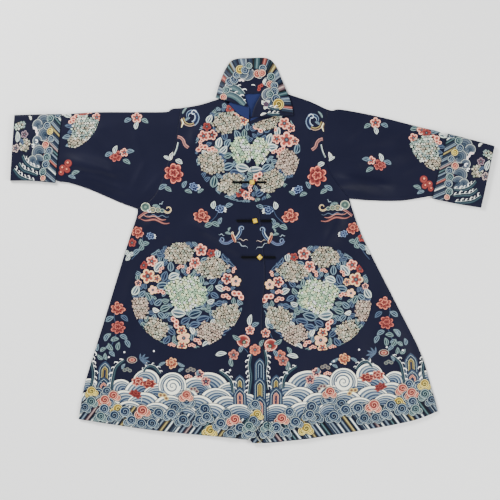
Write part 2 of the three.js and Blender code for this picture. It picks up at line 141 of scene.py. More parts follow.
def rail(rows, at):
    """Points along the smooth line through the rows, at these shares of its length."""
    rows = np.array(rows, float)
    t = np.linspace(0, len(rows) - 1, 60 * (len(rows) - 1) + 1)
    k = np.minimum(t.astype(int), len(rows) - 2)
    w = (t - k)[:, None]
    before, a, b, after = (rows[np.clip(k + step, 0, len(rows) - 1)] for step in (-1, 0, 1, 2))
    v0, v1 = (b - before) / 2, (after - a) / 2
    line = (2 * a - 2 * b + v0 + v1) * w**3 + (-3 * a + 3 * b - 2 * v0 - v1) * w**2 + v0 * w + a
    reach = np.concatenate([[0], np.cumsum(np.hypot(*np.diff(line, axis=0).T))])
    reach /= reach[-1]
    return np.stack([np.interp(at, reach, line[:, axis]) for axis in (0, 1)], axis=1)


def blend_patch(low, high, near, far, s, t):
    """Points inside four border lines, blended evenly from all four."""
    across = (1 - t) * low[:, None] + t * high[:, None]
    along = (1 - s) * near[None] + s * far[None]
    corners = (1 - s) * ((1 - t) * low[0] + t * high[0]) + s * ((1 - t) * low[-1] + t * high[-1])
    return across + along - corners


def new_mesh(name, verts, faces, surface):
    data = bpy.data.meshes.new(name)
    data.from_pydata((np.asarray(verts) * MM).tolist(), [], [list(map(int, f)) for f in faces])
    data.polygons.foreach_set("use_smooth", [True] * len(data.polygons))
    data.materials.append(surface)
    made = bpy.data.objects.new(name, data)
    bpy.context.scene.collection.objects.link(made)
    return made


def grid_faces(index):
    a, b, c, d = index[:-1, :-1], index[1:, :-1], index[1:, 1:], index[:-1, 1:]
    return np.stack([a, b, c, d], axis=-1).reshape(-1, 4)


def tidy(points, faces):
    """Drops the points that no face uses."""
    used, faces = np.unique(faces, return_inverse=True)
    return points[used], faces.reshape(-1, 4)


def shell(grid, under, thickness):
    """Points and faces of a wall over the grid, its border at half thickness so that it looks turned."""
    n, m = grid.shape[:2]
    flat = grid.reshape(-1, 2)
    base = under(flat).reshape(n, m)
    border = np.zeros((n, m), bool)
    border[[0, -1], :] = True
    border[:, [0, -1]] = True
    low = np.arange(n * m).reshape(n, m)
    high = low + n * m
    high[border] = low[border]
    z_low = np.where(border, base + thickness / 2, base)
    points = np.concatenate([
        np.column_stack([flat, z_low.ravel()]),
        np.column_stack([flat, (base + thickness).ravel()]),
    ])
    faces = np.concatenate([grid_faces(high), grid_faces(low)[:, ::-1]])
    return tidy(points, faces)


PANELS = {}  # by name: its mesh, the tree of its surface, and its outline as it is cut


def add_panel(name, points, faces, surface, outline, node_name):
    made = new_mesh(f"{name}_cloth", points, faces, surface)
    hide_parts(node_name)
    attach(made, "root")
    tree = BVHTree.FromPolygons(points.tolist(), faces.tolist())
    PANELS[name] = {"mesh": made, "tree": tree, "cut": outline}
    return made


def declare_cloth(name):
    """Takes the width and length of the piece's outline in plan, swapped for the sleeves and cuffs; nothing
    further is made from them.
    """
    line = PANELS[name]["cut"]
    width, length = np.ptp(line[:, 0]), np.ptp(line[:, 1])
    if "sleeve" in name or "cuff" in name:
        width, length = length, width


def joint_rail(first, second, v, bend):
    """Two lines in a row, the first up to the share called bend."""
    low = rail(first, np.clip(v / bend, 0, 1))
    high = rail(second, np.clip((v - bend) / (1 - bend), 0, 1))
    return np.where((v <= bend)[:, None], low, high)


def body_panel(name, hem, top, near, far, under, u, v, outline):
    grid = blend_patch(hem, top, near, far, u[:, None, None], v[None, :, None])
    points, faces = shell(grid, under, WALL)
    return add_panel(name, points, faces, NAVY_SATIN, outline, name)


SIDE_SHARE = 2 / 3  # the underarm corner, as a share of a panel's height
RIM = 1.1  # a turned edge is rounded over this width
U = np.concatenate([[0, RIM / 400], np.linspace(0, 1, 97)[1:-1], [1 - RIM / 400, 1]])
V = np.concatenate([
    [0, RIM / 900],
    np.linspace(0, SIDE_SHARE, 121)[1:],
    np.linspace(SIDE_SHARE, 1, 61)[1:-1],
    [1 - RIM / 900, 1],
])


def build_back():
    hem = rail(HEM_RIGHT[:3] + HEM_LEFT[1:], U) + (0, 2)
    top = np.empty((len(U), 2))
    spans = [(0, 0.25, SHOULDER_RIGHT), (0.25, 0.75, NECK_BACK), (0.75, 1, SHOULDER_LEFT[::-1])]
    for begin, end, rows in spans:
        part = (U >= begin) & (U <= end)
        top[part] = rail(rows, (U[part] - begin) / (end - begin))
    near = joint_rail(SIDE_RIGHT, ARMHOLE_RIGHT, V, SIDE_SHARE)
    far = joint_rail(SIDE_LEFT, ARMHOLE_LEFT, V, SIDE_SHARE)
    outline = np.concatenate([hem, far, top[::-1], near[::-1]])
    body_panel("back", hem, top, near, far, lambda p: np.zeros(len(p)), U, V, outline)


build_back()
declare_cloth("back")


# The fronts: navy satin like the back, the wearer's right one lapped over the left. They lie on
# the back in soft folds, which die away at every seam and at the folded edges of the sleeves.
LAY = 0.6  # air between two layers pressed together
REST_LOFT = 2.0  # and between two that only lie on each other
HUSHED = 45  # folds and loft die away within this distance of a seam
OVERLAP = 26  # width of the left front that the right one hides
NECK_RIGHT = [(-84, 418), (-65, 400), (-38, 373), (-9, 357)]
NECK_LEFT = [(90, 421), (61, 371), (25, 356), (-33, 335)]
FRONT_EDGE = [
    (42, -530), (44, -440), (31, -289), (26, -190), (34, -62),
    (25, 40), (19, 107), (1, 187), (-7, 290), (-9, 357),
]  # fmt: skip
SLEEVES = {
    "right": {
        "top": [(-197, 390), (-222, 388), (-236, 380), (-310, 379), (-420, 379),
                (-475, 376), (-512, 373), (-548, 364), (-650, 363)],
        "bottom": [(-316, 113), (-365, 131), (-447, 166), (-502, 184), (-530, 188), (-566, 197), (-659, 199)],
    },
    "left": {
        "top": [(207, 386), (222, 383), (245, 386), (350, 366),
                (460, 338), (510, 326), (548, 307), (656, 278)],
        "bottom": [(266, 141), (322, 136), (405, 135), (468, 144), (506, 147), (622, 126)],
    },
}  # fmt: skip

# The main folds, as on the solids, and below them the finer creases that only show here:
# x and y of both ends, height and half width
FOLDS = [
    (-515, 254, -345, 205, 8, 17), (-450, 336, -368, 250, 4, 22), (-470, 206, -330, 150, 5, 15),
    (222, 200, 385, 170, 10, 17), (235, 278, 405, 318, 3.5, 20), (268, 240, 440, 268, 4, 20),
    (420, 300, 520, 190, 3, 26), (-175, 84, -6, -22, 6, 18), (46, -44, 150, 26, 3, 20),
    (-300, 96, -232, 10, 4.5, 22), (250, 120, 205, 8, 4.5, 22), (-120, 360, -186, 262, 3, 24),
    (128, 366, 172, 280, 3, 24), (-372, -90, -415, -440, 4, 34), (-225, -300, -245, -520, 5, 34),
    (-62, -150, -84, -530, 4, 30), (118, -280, 140, -540, 5, 34), (268, -190, 330, -510, 4.5, 36),
    (374, -150, 455, -420, 4, 30), (-20, -60, -30, -220, 2.5, 22),
]  # fmt: skip
CREASES = [
    (-505, 236, -420, 214, 2.2, 6), (-400, 222, -345, 178, 1.6, 8), (-330, 330, -300, 240, 1.2, 9),
    (-290, 250, -330, 170, 1.8, 8), (-250, 210, -300, 150, 1.4, 7), (-470, 340, -395, 330, 1.0, 9),
    (252, 250, 300, 232, 1.8, 8), (300, 165, 395, 150, 2.2, 7), (330, 300, 460, 286, 1.4, 9),
    (268, 300, 320, 334, 1.4, 8), (400, 210, 470, 236, 1.4, 8), (232, 178, 300, 172, 2.4, 6),
    (-150, 62, -60, 20, 1.8, 7), (-34, -24, 24, -20, 1.6, 5), (-110, -12, -30, -40, 1.2, 8),
    (60, -50, 110, -34, 1.4, 6), (-260, 60, -200, -20, 1.2, 9), (214, 60, 190, -30, 1.4, 9),
    (-170, 330, -150, 250, 1.0, 8), (150, 340, 168, 260, 1.0, 8), (-330, -60, -352, -180, 1.2, 10),
    (350, -60, 372, -160, 1.2, 10), (-160, -340, -176, -500, 1.4, 12), (40, -330, 52, -500, 1.2, 9),
    (210, -340, 224, -500, 1.4, 12), (-300, -380, -318, -480, 1.2, 11), (400, -300, 430, -440, 1.2, 10),
]  # fmt: skip


def even(rows, count=60):
    return rail(rows, np.linspace(0, 1, count))


def away_from(points, line):
    """Distance of each point to a line of many points."""
    nearest = np.full(len(points), np.inf)
    for a, b in zip(line[:-1], line[1:]):
        along = b - a
        share = np.clip(((points - a) @ along) / max(along @ along, 1e-9), 0, 1)
        nearest = np.minimum(nearest, np.hypot(*(points - a - share[:, None] * along).T))
    return nearest


def step(value, low, high):
    """Rises smoothly from 0 at low to 1 at high."""
    share = np.clip((value - low) / (high - low), 0, 1)
    return share * share * (3 - 2 * share)


# The distance to the seamed and folded edges is sampled once over the whole garment
HELD_PITCH = 6
HELD_FROM = (-690, -560)
HELD_COUNT = (232, 188)


def held_map():
    x = HELD_FROM[0] + HELD_PITCH * np.arange(HELD_COUNT[0])
    y = HELD_FROM[1] + HELD_PITCH * np.arange(HELD_COUNT[1])
    grid = np.stack(np.meshgrid(x, y, indexing="ij"), axis=-1).reshape(-1, 2)
    lines = [SIDE_RIGHT, SIDE_LEFT, SHOULDER_RIGHT, SHOULDER_LEFT]
    lines += [SLEEVES[side][edge] for side in SLEEVES for edge in ("top", "bottom")]
    nearest = np.min([away_from(grid, even(line, 24)) for line in lines], axis=0)
    return nearest.reshape(HELD_COUNT)


HELD = held_map()


def sampled(value, place):
    """Reads a grid of values between its points."""
    cell = np.clip(place.astype(int), 0, np.array(value.shape) - 2)
    fx, fy = np.clip(place - cell, 0, 1).T
    i, j = cell.T
    low = value[i, j] * (1 - fx) + value[i + 1, j] * fx
    high = value[i, j + 1] * (1 - fx) + value[i + 1, j + 1] * fx
    return low * (1 - fy) + high * fy


def loft(p):
    """How far the upper layer of cloth stands off the lower one."""
    height = np.full(len(p), REST_LOFT)
    for x0, y0, x1, y1, rise, width in FOLDS + CREASES:
        along = np.array([x1 - x0, y1 - y0], float)
        share = ((p - (x0, y0)) @ along) / (along @ along)
        off = p - (x0, y0) - np.clip(share, 0, 1)[:, None] * along
        fade = step(share, -0.1, 0.3) * step(1 - share, -0.1, 0.3)
        height += rise * np.exp(-(off**2).sum(1) / width**2) * fade
    held = sampled(HELD, (p - HELD_FROM) / HELD_PITCH)
    return height * (0.1 + 0.9 * step(held, 0, HUSHED))


EDGE_LINE = even(FRONT_EDGE, 200)


def edge_x(y):
    return np.interp(y, EDGE_LINE[:, 1], EDGE_LINE[:, 0])


def front_under(p):
    return WALL + LAY + loft(p)


def lap_under(p):
    edge = edge_x(p[:, 1])
    return front_under(p) + (WALL + LAY) * step(p[:, 0], edge - 3.2 * OVERLAP, edge - 1.4 * OVERLAP)


def build_fronts():
    right_near = joint_rail(SIDE_RIGHT, ARMHOLE_RIGHT, V, SIDE_SHARE)
    right_top = joint_rail(SHOULDER_RIGHT, NECK_RIGHT, U, 0.5)
    right_hem, edge = rail(HEM_RIGHT, U), rail(FRONT_EDGE, V)
    outline = np.concatenate([right_hem, edge, right_top[::-1], right_near[::-1]])
    body_panel("front_right", right_hem, right_top, right_near, edge, lap_under, U, V, outline)

    hidden = edge - (OVERLAP, 0)
    hidden[0], hidden[-1] = HEM_LEFT[0], NECK_LEFT[-1]
    left_top = joint_rail(NECK_LEFT[::-1], SHOULDER_LEFT[::-1], U, 0.5)
    left_far = joint_rail(SIDE_LEFT, ARMHOLE_LEFT, V, SIDE_SHARE)
    left_hem = rail(HEM_LEFT, U)
    outline = np.concatenate([left_hem, left_far, left_top[::-1], hidden[::-1]])
    body_panel("front_left", left_hem, left_top, hidden, left_far, front_under, U, V, outline)
    # Thread shows only where the wearer's right front doesn't cover the left one
    shown = edge + (0.4, 0)
    hem_shown = left_hem[left_hem[:, 0] > shown[0, 0]]
    top_shown = left_top[::-1][left_top[::-1, 0] > shown[-1, 0]]
    PANELS["front_left"]["shown"] = np.concatenate([hem_shown, left_far, top_shown, shown[::-1]])


build_fronts()


# The sleeves: navy satin, each cut in one piece and seamed underneath, so that it lies as a
# flattened tube. They are rounded where the cloth folds over, and open at both ends.
CUFFS = {
    "right": {
        "top": [(-524, 374), (-590, 373), (-654, 371)],
        "bottom": [(-542, 184), (-610, 190), (-666, 190)],
    },
    "left": {
        "top": [(537, 320), (600, 304), (665, 286)],
        "bottom": [(494, 141), (560, 127), (628, 116)],
    },
}
CUFF_LIFT = WALL + LAY  # the sleeve's end rests on the cuff's lower layer
CUFF_APPROACH = 70  # and rises to it over this length
FOLD_SOFT = 4.0  # the folded edges of a tube are rounded over this width


def inside_cuff(side, p):
    """Distance past the line where the cuff begins."""
    top, bottom = np.array(CUFFS[side]["top"][0], float), np.array(CUFFS[side]["bottom"][0], float)
    along = bottom - top
    outwards = np.sign(CUFFS[side]["top"][2][0])
    return -outwards * (along[1] * (p[:, 0] - top[0]) - along[0] * (p[:, 1] - top[1])) / np.hypot(*along)


def shares(count, rim):
    """Even shares with one more line just inside each end, for the rounded rim."""
    inner = np.linspace(0, 1, count)[1:-1]
    return np.concatenate([[0, rim], inner, [1 - rim, 1]])


def tube_skin(grid, under, over, inset):
    """Closed rings round a flattened tube: i across the tube and j along it, drawn in by the inset."""
    edge_gap = np.minimum(
        np.hypot(*np.moveaxis(grid - grid[:1], -1, 0)), np.hypot(*np.moveaxis(grid - grid[-1:], -1, 0))
    )
    flat = grid.reshape(-1, 2)
    low, high = under(flat).reshape(grid.shape[:2]), over(flat).reshape(grid.shape[:2])
    soft = np.clip(edge_gap / FOLD_SOFT, 0, 1)
    swell = np.sqrt(np.maximum(0, 1 - (1 - soft) ** 2))
    middle = (low + high) / 2
    z_low = middle - (middle - low - inset) * swell
    z_high = middle + (high - middle - inset) * swell
    return z_low, z_high


def facing_out(points, faces):
    """Turns all the faces over where they enclose their volume the wrong way round."""
    a, b, c, d = (points[faces[:, k]] for k in range(4))
    volume = np.einsum("ij,ij->i", a, np.cross(b, c) + np.cross(c, d)).sum()
    return faces[:, ::-1] if volume < 0 else faces


def tube(name, lower, upper, near, far, under, over, along_steps, across_steps):
    """Lower and upper are its folded edges; near and far give its open ends in plan."""
    v = shares(along_steps, 0.8 / 300)
    inner = np.linspace(0, 1, across_steps)[1:-1]
    w = np.concatenate([[0, 0.003, 0.008, 0.016], inner, [0.984, 0.992, 0.997, 1]])  # closer at the folds
    s, t = v[:, None, None], w[None, :, None]
    plan = blend_patch(rail(lower, v), rail(upper, v), near(w), far(w), s, t)
    plan = np.swapaxes(plan, 0, 1)
    rings = []
    n, m = plan.shape[:2]
    for inset in (0, WALL):
        drawn = plan.copy()
        if inset:
            inwards = plan[n // 2][None] - plan
            reach = np.hypot(*np.moveaxis(inwards, -1, 0))[..., None]
            drawn = plan + inwards / np.maximum(reach, 1e-6) * np.minimum(inset + 0.4, reach)
        z_low, z_high = tube_skin(drawn, under, over, inset)
        low = np.dstack([drawn, z_low])
        high = np.dstack([drawn, z_high])
        rings.append(np.concatenate([low, high[-2:0:-1]], axis=0))
    count = rings[0].shape[0]
    index = np.arange(count * m).reshape(count, m)
    closed = np.concatenate([index, index[:1]])
    outer, inner = grid_faces(closed), grid_faces(closed + count * m)[:, ::-1]
    ends = []
    for j in (0, m - 1):
        a, b = closed[:-1, j], closed[1:, j]
        rim = np.stack([a, b, b + count * m, a + count * m], axis=-1)
        ends.append(rim[:, ::-1] if j == 0 else rim)
    points = np.concatenate([ring.reshape(-1, 3) for ring in rings])
    faces = facing_out(points, np.concatenate([outer, inner, *ends]))
    outline = np.concatenate([plan[0], plan[1:, -1], plan[-1, ::-1], plan[::-1, 0]])
    add_panel(name, points, faces, NAVY_SATIN, outline, name)


def build_sleeve(side, armhole, outwards):
    cut = SLEEVES[side]

    def lift(p):
        return CUFF_LIFT * step(inside_cuff(side, p), -CUFF_APPROACH, -3)

    tube(
        f"sleeve_{side}",
        cut["bottom"],
        cut["top"],
        lambda w: rail(armhole, w) + (outwards * 0.1, 0),
        lambda w: rail([cut["bottom"][-1], cut["top"][-1]], w),
        lift,
        lambda p: lift(p) + 2 * WALL + LAY + loft(p),
        along_steps=64,
        across_steps=40,
    )


build_sleeve("right", ARMHOLE_RIGHT, -1)
build_sleeve("left", ARMHOLE_LEFT, 1)


# The cuffs: the ends of the sleeves, turned back over them, so that each lies round its sleeve
# as a second tube of the same navy satin.
def build_cuff(side):
    cut = CUFFS[side]
    tube(
        f"cuff_{side}",
        cut["bottom"],
        cut["top"],
        lambda w: rail([cut["bottom"][0], cut["top"][0]], w),
        lambda w: rail([cut["bottom"][-1], cut["top"][-1]], w),
        lambda p: np.zeros(len(p)),
        lambda p: 4 * WALL + 3 * LAY + loft(p),
        along_steps=24,
        across_steps=32,
    )


build_cuff("right")
build_cuff("left")


# The collar: two embroidered layers of satin with an interlining, cut deep and curved. It
# stands flat above the neck and folds down on both fronts.
# Rows: x and y of its inner and outer edge and the height of its underside at both.
COLLAR = [
    (-14, 393, -102, 418, 8.2, 6.6), (-18, 410, -90, 460, 7, 3), (-22, 426, -72, 502, 5, 1),
    (-14, 429, -55, 522, 3.6, 0.5), (-2, 429, -5, 528, 3.5, 0.3), (12, 430, 44, 526, 3.5, 0.3),
    (24, 431, 61, 511, 4.2, 0.8), (18, 418, 81, 467, 5.8, 3.2), (9, 402, 99, 424, 7.4, 6.4),
    (2, 385, 109, 393, 8, 7), (-3, 364, 113, 370, 8.2, 7.2),
]  # fmt: skip
COLLAR_WALL = 2.4
COLLAR_ROLL = 3.5  # it is padded higher along its middle


def centripetal(rows, at):
    """The smooth line through points in space that the solid's collar follows."""
    rows = np.array(rows, float)
    ends = np.concatenate([[2 * rows[0] - rows[1]], rows, [2 * rows[-1] - rows[-2]]])
    out = []
    for share in at:
        place = share * (len(rows) - 1)
        k = min(int(place), len(rows) - 2)
        w = place - k
        p = ends[k : k + 4]
        gap = np.maximum(np.sum(np.diff(p, axis=0) ** 2, axis=1) ** 0.25, 1e-4)
        t0 = (p[1] - p[0]) / gap[0] - (p[2] - p[0]) / (gap[0] + gap[1]) + (p[2] - p[1]) / gap[1]
        t1 = (p[2] - p[1]) / gap[1] - (p[3] - p[1]) / (gap[1] + gap[2]) + (p[3] - p[2]) / gap[2]
        t0, t1 = t0 * gap[1], t1 * gap[1]
        c2 = -3 * p[1] + 3 * p[2] - 2 * t0 - t1
        c3 = 2 * p[1] - 2 * p[2] + t0 + t1
        out.append(p[1] + t0 * w + c2 * w**2 + c3 * w**3)
    return np.array(out)


def build_collar():
    s = shares(96, 0.003)
    t = shares(26, 0.012)
    inner = centripetal([(r[0], r[1], r[4]) for r in COLLAR], s)
    outer = centripetal([(r[2], r[3], r[5]) for r in COLLAR], s)
    line = inner[:, None] * (1 - t)[None, :, None] + outer[:, None] * t[None, :, None]
    line[..., 2] += COLLAR_ROLL * np.sin(np.pi * t)[None] ** 2
    heights = line[..., 2].ravel()
    points, faces = shell(line[..., :2], lambda p: heights, COLLAR_WALL)
    faces = facing_out(points, faces)
    outline = np.concatenate([inner[:, :2], outer[::-1, :2]])
    add_panel("collar", points, faces, NAVY_SATIN, outline, "collar")


build_collar()


# The neck lining: plain blue silk that shows inside the back neck, caught down at the neck
# seam. Soft creases run the way the silk is pulled.
BLUE_SILK = satin_material("blue_plain_silk", "#1a2349", weft_mm=0.4, roughness=0.45, sheen=0.05)
SILK_WALL = 0.8
LINING_UNDER = 2.1  # its underside's height above the floor
CREASE = 0.25  # half the height of its soft creases


def build_lining():
    u, v = shares(24, 0.01), shares(20, 0.01)
    low, high = rail([(-50, 346), (0, 340), (56, 346)], u), rail([(-50, 422), (0, 434), (56, 424)], u)
    near, far = rail([(-50, 346), (-50, 422)], v), rail([(56, 346), (56, 424)], v)
    grid = blend_patch(low, high, near, far, u[:, None, None], v[None, :, None])

    def under(p):
        return LINING_UNDER + CREASE * (1 + np.sin((p[:, 0] * 0.8 + p[:, 1] * 0.35) * 0.16))

    points, faces = shell(grid, under, SILK_WALL)
    outline = np.concatenate([low, far, high[::-1], near[::-1]])
    add_panel("neck_lining", points, faces, BLUE_SILK, outline, "neck_lining")


build_lining()
declare_cloth("neck_lining")


# The stands: plain blue silk between each front's neckline and the collar, sewn to both. They
# rise from the fronts to the height of the collar's underside.
STANDS = {
    "right": {"neck": NECK_RIGHT, "from": 0.25, "to": 1.0, "out": (0.28, 0.36),
              "rise": [(-60, 411), (-30, 404), (-9, 392)], "base": lap_under},
    "left": {"neck": NECK_LEFT, "from": 0.875, "to": 0.375, "out": (-0.16, 0.42),
             "rise": [(-4, 361), (20, 373), (50, 388)], "base": front_under},
}  # fmt: skip
STAND_RISE = 2.2  # of their top over the fronts
STAND_WALL = 1.0


def build_stand(side, cut):
    u, v = shares(22, 0.012), shares(10, 0.03)
    low = rail(cut["neck"], cut["from"] + u * (cut["to"] - cut["from"])) + cut["out"]
    high = rail(cut["rise"], u)
    near, far = rail([low[0], high[0]], v), rail([low[-1], high[-1]], v)
    grid = blend_patch(low, high, near, far, u[:, None, None], v[None, :, None])
    top = front_under(np.array([[0.0, 350.0]]))[0] + STAND_RISE
    t = np.broadcast_to(v[None], grid.shape[:2]).ravel()
    base = cut["base"](grid.reshape(-1, 2))
    heights = base + (top - base) * t**2
    points, faces = shell(grid, lambda p: heights, STAND_WALL)
    faces = facing_out(points, faces)
    outline = np.concatenate([low, far, high[::-1], near[::-1]])
    add_panel(f"stand_{side}", points, faces, BLUE_SILK, outline, f"stand_{side}")


for side, cut in STANDS.items():
    build_stand(side, cut)
    declare_cloth(f"stand_{side}")


# The buttons: cast brass, gilt, square and set as a lozenge. They are shown as the solids have
# them, with their edges worn a little round. The gilding gives a warm shine, dulled by wear.
GILT = material("gilt_metal", Base_Color=(*linear("#ffd746"), 1), Metallic=0.6, Roughness=0.34)
for number in (1, 2, 3):
    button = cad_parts[f"button_{number}"]
    button.data.materials.clear()
    button.data.materials.append(GILT)
    soften = button.modifiers.new("worn_edges", "BEVEL")
    soften.width = 0.4 * MM
    soften.segments = 2


# The closures' bars: bias cord of dark silk, doubled and sewn down flat. One is the button's
# loop, the other the tail that holds the button. The silk is rolled and hardly shines.
CORD = material(
    "bias_silk_cord", Base_Color=(*linear("#050609"), 1), Roughness=0.8, Specular_IOR_Level=0.1
)
CORD_RADIUS = 1.6
CORD_SIDES = 10
THREAD_DEPTH = 1.2  # the bars are sewn on over the embroidery


def doubled_cord(name, solid):
    """Two strands side by side, joined by a turn at each end, in the place of a solid bar."""
    low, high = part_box(solid)
    x0, x1 = low[0] / MM, high[0] / MM
    y = (low[1] + high[1]) / 2 / MM
    radius = CORD_RADIUS
    if solid.startswith("loop"):  # each reaches a little further towards its button
        x1 += 2
    else:
        x0 -= 2
    turns = np.linspace(math.pi / 2, 3 * math.pi / 2, 9)
    left = [(x0 + radius * 2 + radius * math.cos(a), y + radius * math.sin(a)) for a in turns]
    right = [(x1 - radius * 2 - radius * math.cos(a), y - radius * math.sin(a)) for a in turns]
    steps = np.linspace(0, 1, 10)[1:-1]
    lower = [(left[-1][0] + (right[0][0] - left[-1][0]) * k, left[-1][1]) for k in steps]
    upper = [(right[-1][0] + (left[0][0] - right[-1][0]) * k, right[-1][1]) for k in steps]
    path = left + lower + right + upper
    shown = "front_right" if solid.startswith("loop") else "front_left"
    tree = PANELS[shown]["tree"]
    points, faces = [], []
    for k, (x, py) in enumerate(path):
        hit = tree.ray_cast(Vector((x, py, 100)), Vector((0, 0, -1)))[0]
        before, after = path[k - 1], path[(k + 1) % len(path)]
        along = Vector((after[0] - before[0], after[1] - before[1], 0)).normalized()
        across = Vector((-along.y, along.x, 0))
        for a in np.linspace(0, 2 * math.pi, CORD_SIDES, endpoint=False):
            out = across * math.cos(a) * radius + Vector((0, 0, 1)) * math.sin(a) * radius
            points.append((x + out.x, py + out.y, hit.z + THREAD_DEPTH + radius + out.z))
        here, there = k * CORD_SIDES, (k + 1) % len(path) * CORD_SIDES
        for q in range(CORD_SIDES):
            r = (q + 1) % CORD_SIDES
            faces.append((here + q, there + q, there + r, here + r))
    made = new_mesh(name, points, facing_out(np.array(points), np.array(faces)), CORD)
    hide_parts(solid)
    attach(made, "root")


for number in (1, 2, 3):
    doubled_cord(f"button_loop_{number}", f"loop_bar_{number}")
    doubled_cord(f"button_tail_{number}", f"knob_bar_{number}")


# The embroidery's thread: floss silk laid in flat areas of satin stitch, each area one colour.
# A motif is an array of such areas, as triangles in plan; the cloth's own height comes last.
def thread_material():
    """Floss silk: the colour is each shape's own, and fine ridges run the way its stitches lie."""
    made = material("floss_silk_thread", Roughness=0.45, Specular_IOR_Level=0.22)
    colour = node(made, "ShaderNodeVertexColor", layer_name="thread")
    along = node(made, "ShaderNodeUVMap", uv_map="stitches").outputs["UV"]
    strands = node(
        made,
        "ShaderNodeTexWave",
        [("Vector", along)],
        bands_direction="X",
        in_Scale=0.42,
        in_Distortion=0.8,
        in_Detail=1.0,
    )
    uneven = node(made, "ShaderNodeTexNoise", [("Vector", along)], in_Scale=0.35, in_Detail=2.0)
    dim = node(made, "ShaderNodeMapRange", [("Value", uneven.outputs["Fac"])], in_To_Min=0.62, in_To_Max=1.25)
    shade = node(made, "ShaderNodeMix", data_type="RGBA", blend_type="MULTIPLY", in_Factor=1.0)
    made.node_tree.links.new(colour.outputs["Color"], shade.inputs[6])
    made.node_tree.links.new(dim.outputs["Result"], shade.inputs[7])
    made.node_tree.links.new(shade.outputs[2], shader_of(made).inputs["Base Color"])
    height = [("Height", strands.outputs["Fac"])]
    bump = node(made, "ShaderNodeBump", height, in_Strength=0.35, in_Distance=0.2 * MM)
    made.node_tree.links.new(bump.outputs["Normal"], shader_of(made).inputs["Normal"])
    return made


THREAD = thread_material()
STITCHED = np.dtype([("xy", float, (3, 2)), ("rgb", float, (3,)), ("grain", float), ("level", float)])
dice = random.Random(7)
THREAD_STEP = 0.018  # one layer of thread over another, in millimetres


def area(corners, colour, grain=0.0):
    made = np.zeros(len(corners), STITCHED)
    made["xy"] = corners
    made["rgb"] = linear(colour)
    made["grain"] = grain
    return made


def blob(outline, bands, centre=None, grain=None):
    """Fills an outline in bands from the edge in: (share of the reach where it starts, colour).
    Without a grain the stitches run towards the centre."""
    outline = np.asarray(outline, float)
    centre = outline.mean(0) if centre is None else np.array(centre, float)
    start, end = outline - centre, np.roll(outline, -1, axis=0) - centre
    inner = [band[0] for band in bands[1:]] + [0]
    made = []
    for (outer_share, colour), inner_share in zip(bands, inner):
        corners = [np.stack([start * outer_share, end * outer_share, end * inner_share], 1)]
        if inner_share > 0:
            corners.append(np.stack([start * outer_share, end * inner_share, start * inner_share], 1))
        corners = np.concatenate(corners)
        middle = corners.mean(1)
        lie = np.arctan2(middle[:, 1], middle[:, 0]) if grain is None else grain
        made.append(area(corners + centre, colour, lie))
    return np.concatenate(made)


def directions(path):
    along = np.gradient(path, axis=0)
    return along / np.hypot(*along.T)[:, None]


def ribbon(path, width, colours):
    """A band along a path, its width split evenly between the colours; the stitches lie across it."""
    path = np.asarray(path, float)
    along = directions(path)
    side = np.column_stack([-along[:, 1], along[:, 0]]) * (np.ones(len(path)) * width)[:, None] / 2
    made = []
    for k, colour in enumerate(colours):
        left = path + side * (1 - 2 * k / len(colours))
        right = path + side * (1 - 2 * (k + 1) / len(colours))
        corners = np.concatenate([
            np.stack([left[:-1], right[:-1], right[1:]], 1),
            np.stack([left[:-1], right[1:], left[1:]], 1),
        ])
        lie = np.arctan2(along[:-1, 1], along[:-1, 0]) + math.pi / 2
        made.append(area(corners, colour, np.concatenate([lie, lie])))
    return np.concatenate(made)


def lifted(work, level):
    work = work.copy()
    work["level"] += level
    return work


def stack(*parts):
    """Lays each part over the ones before it."""
    return np.concatenate([lifted(part, k * THREAD_STEP) for k, part in enumerate(parts)])


def placed(work, x, y, size=1.0, turn=0.0, mirror=False, squash=1.0):
    """A copy at its place: sized, squashed and mirrored first, then turned by degrees."""
    work = work.copy()
    xy = work["xy"] * (size * (-1 if mirror else 1), size * squash)
    if mirror:
        work["grain"] = math.pi - work["grain"]
    angle = math.radians(turn)
    spin = np.array([[math.cos(angle), math.sin(angle)], [-math.sin(angle), math.cos(angle)]])
    work["xy"] = xy @ spin + (x, y)
    work["grain"] += angle
    return work


def ring(radius, count=16, tall=1.0, centre=(0, 0)):
    angles = np.linspace(0, 2 * math.pi, count, endpoint=False)
    return np.column_stack([radius * np.cos(angles), radius * tall * np.sin(angles)]) + centre


def tinted(work, amount=0.1):
    """Dye lots and fading: no two areas of one colour are quite alike."""
    work = work.copy()
    work["rgb"] = np.clip(work["rgb"] * (1 + dice.uniform(-amount, amount)), 0, 1)
    return work


def inside_ring(x, y, reach_x, reach_y):
    """Distance inwards from an ellipse, near enough for cutting along it."""

    def depth(p):
        share = np.hypot((p[:, 0] - x) / reach_x, (p[:, 1] - y) / reach_y)
        return (1 - share) * (reach_x + reach_y) / 2

    return depth


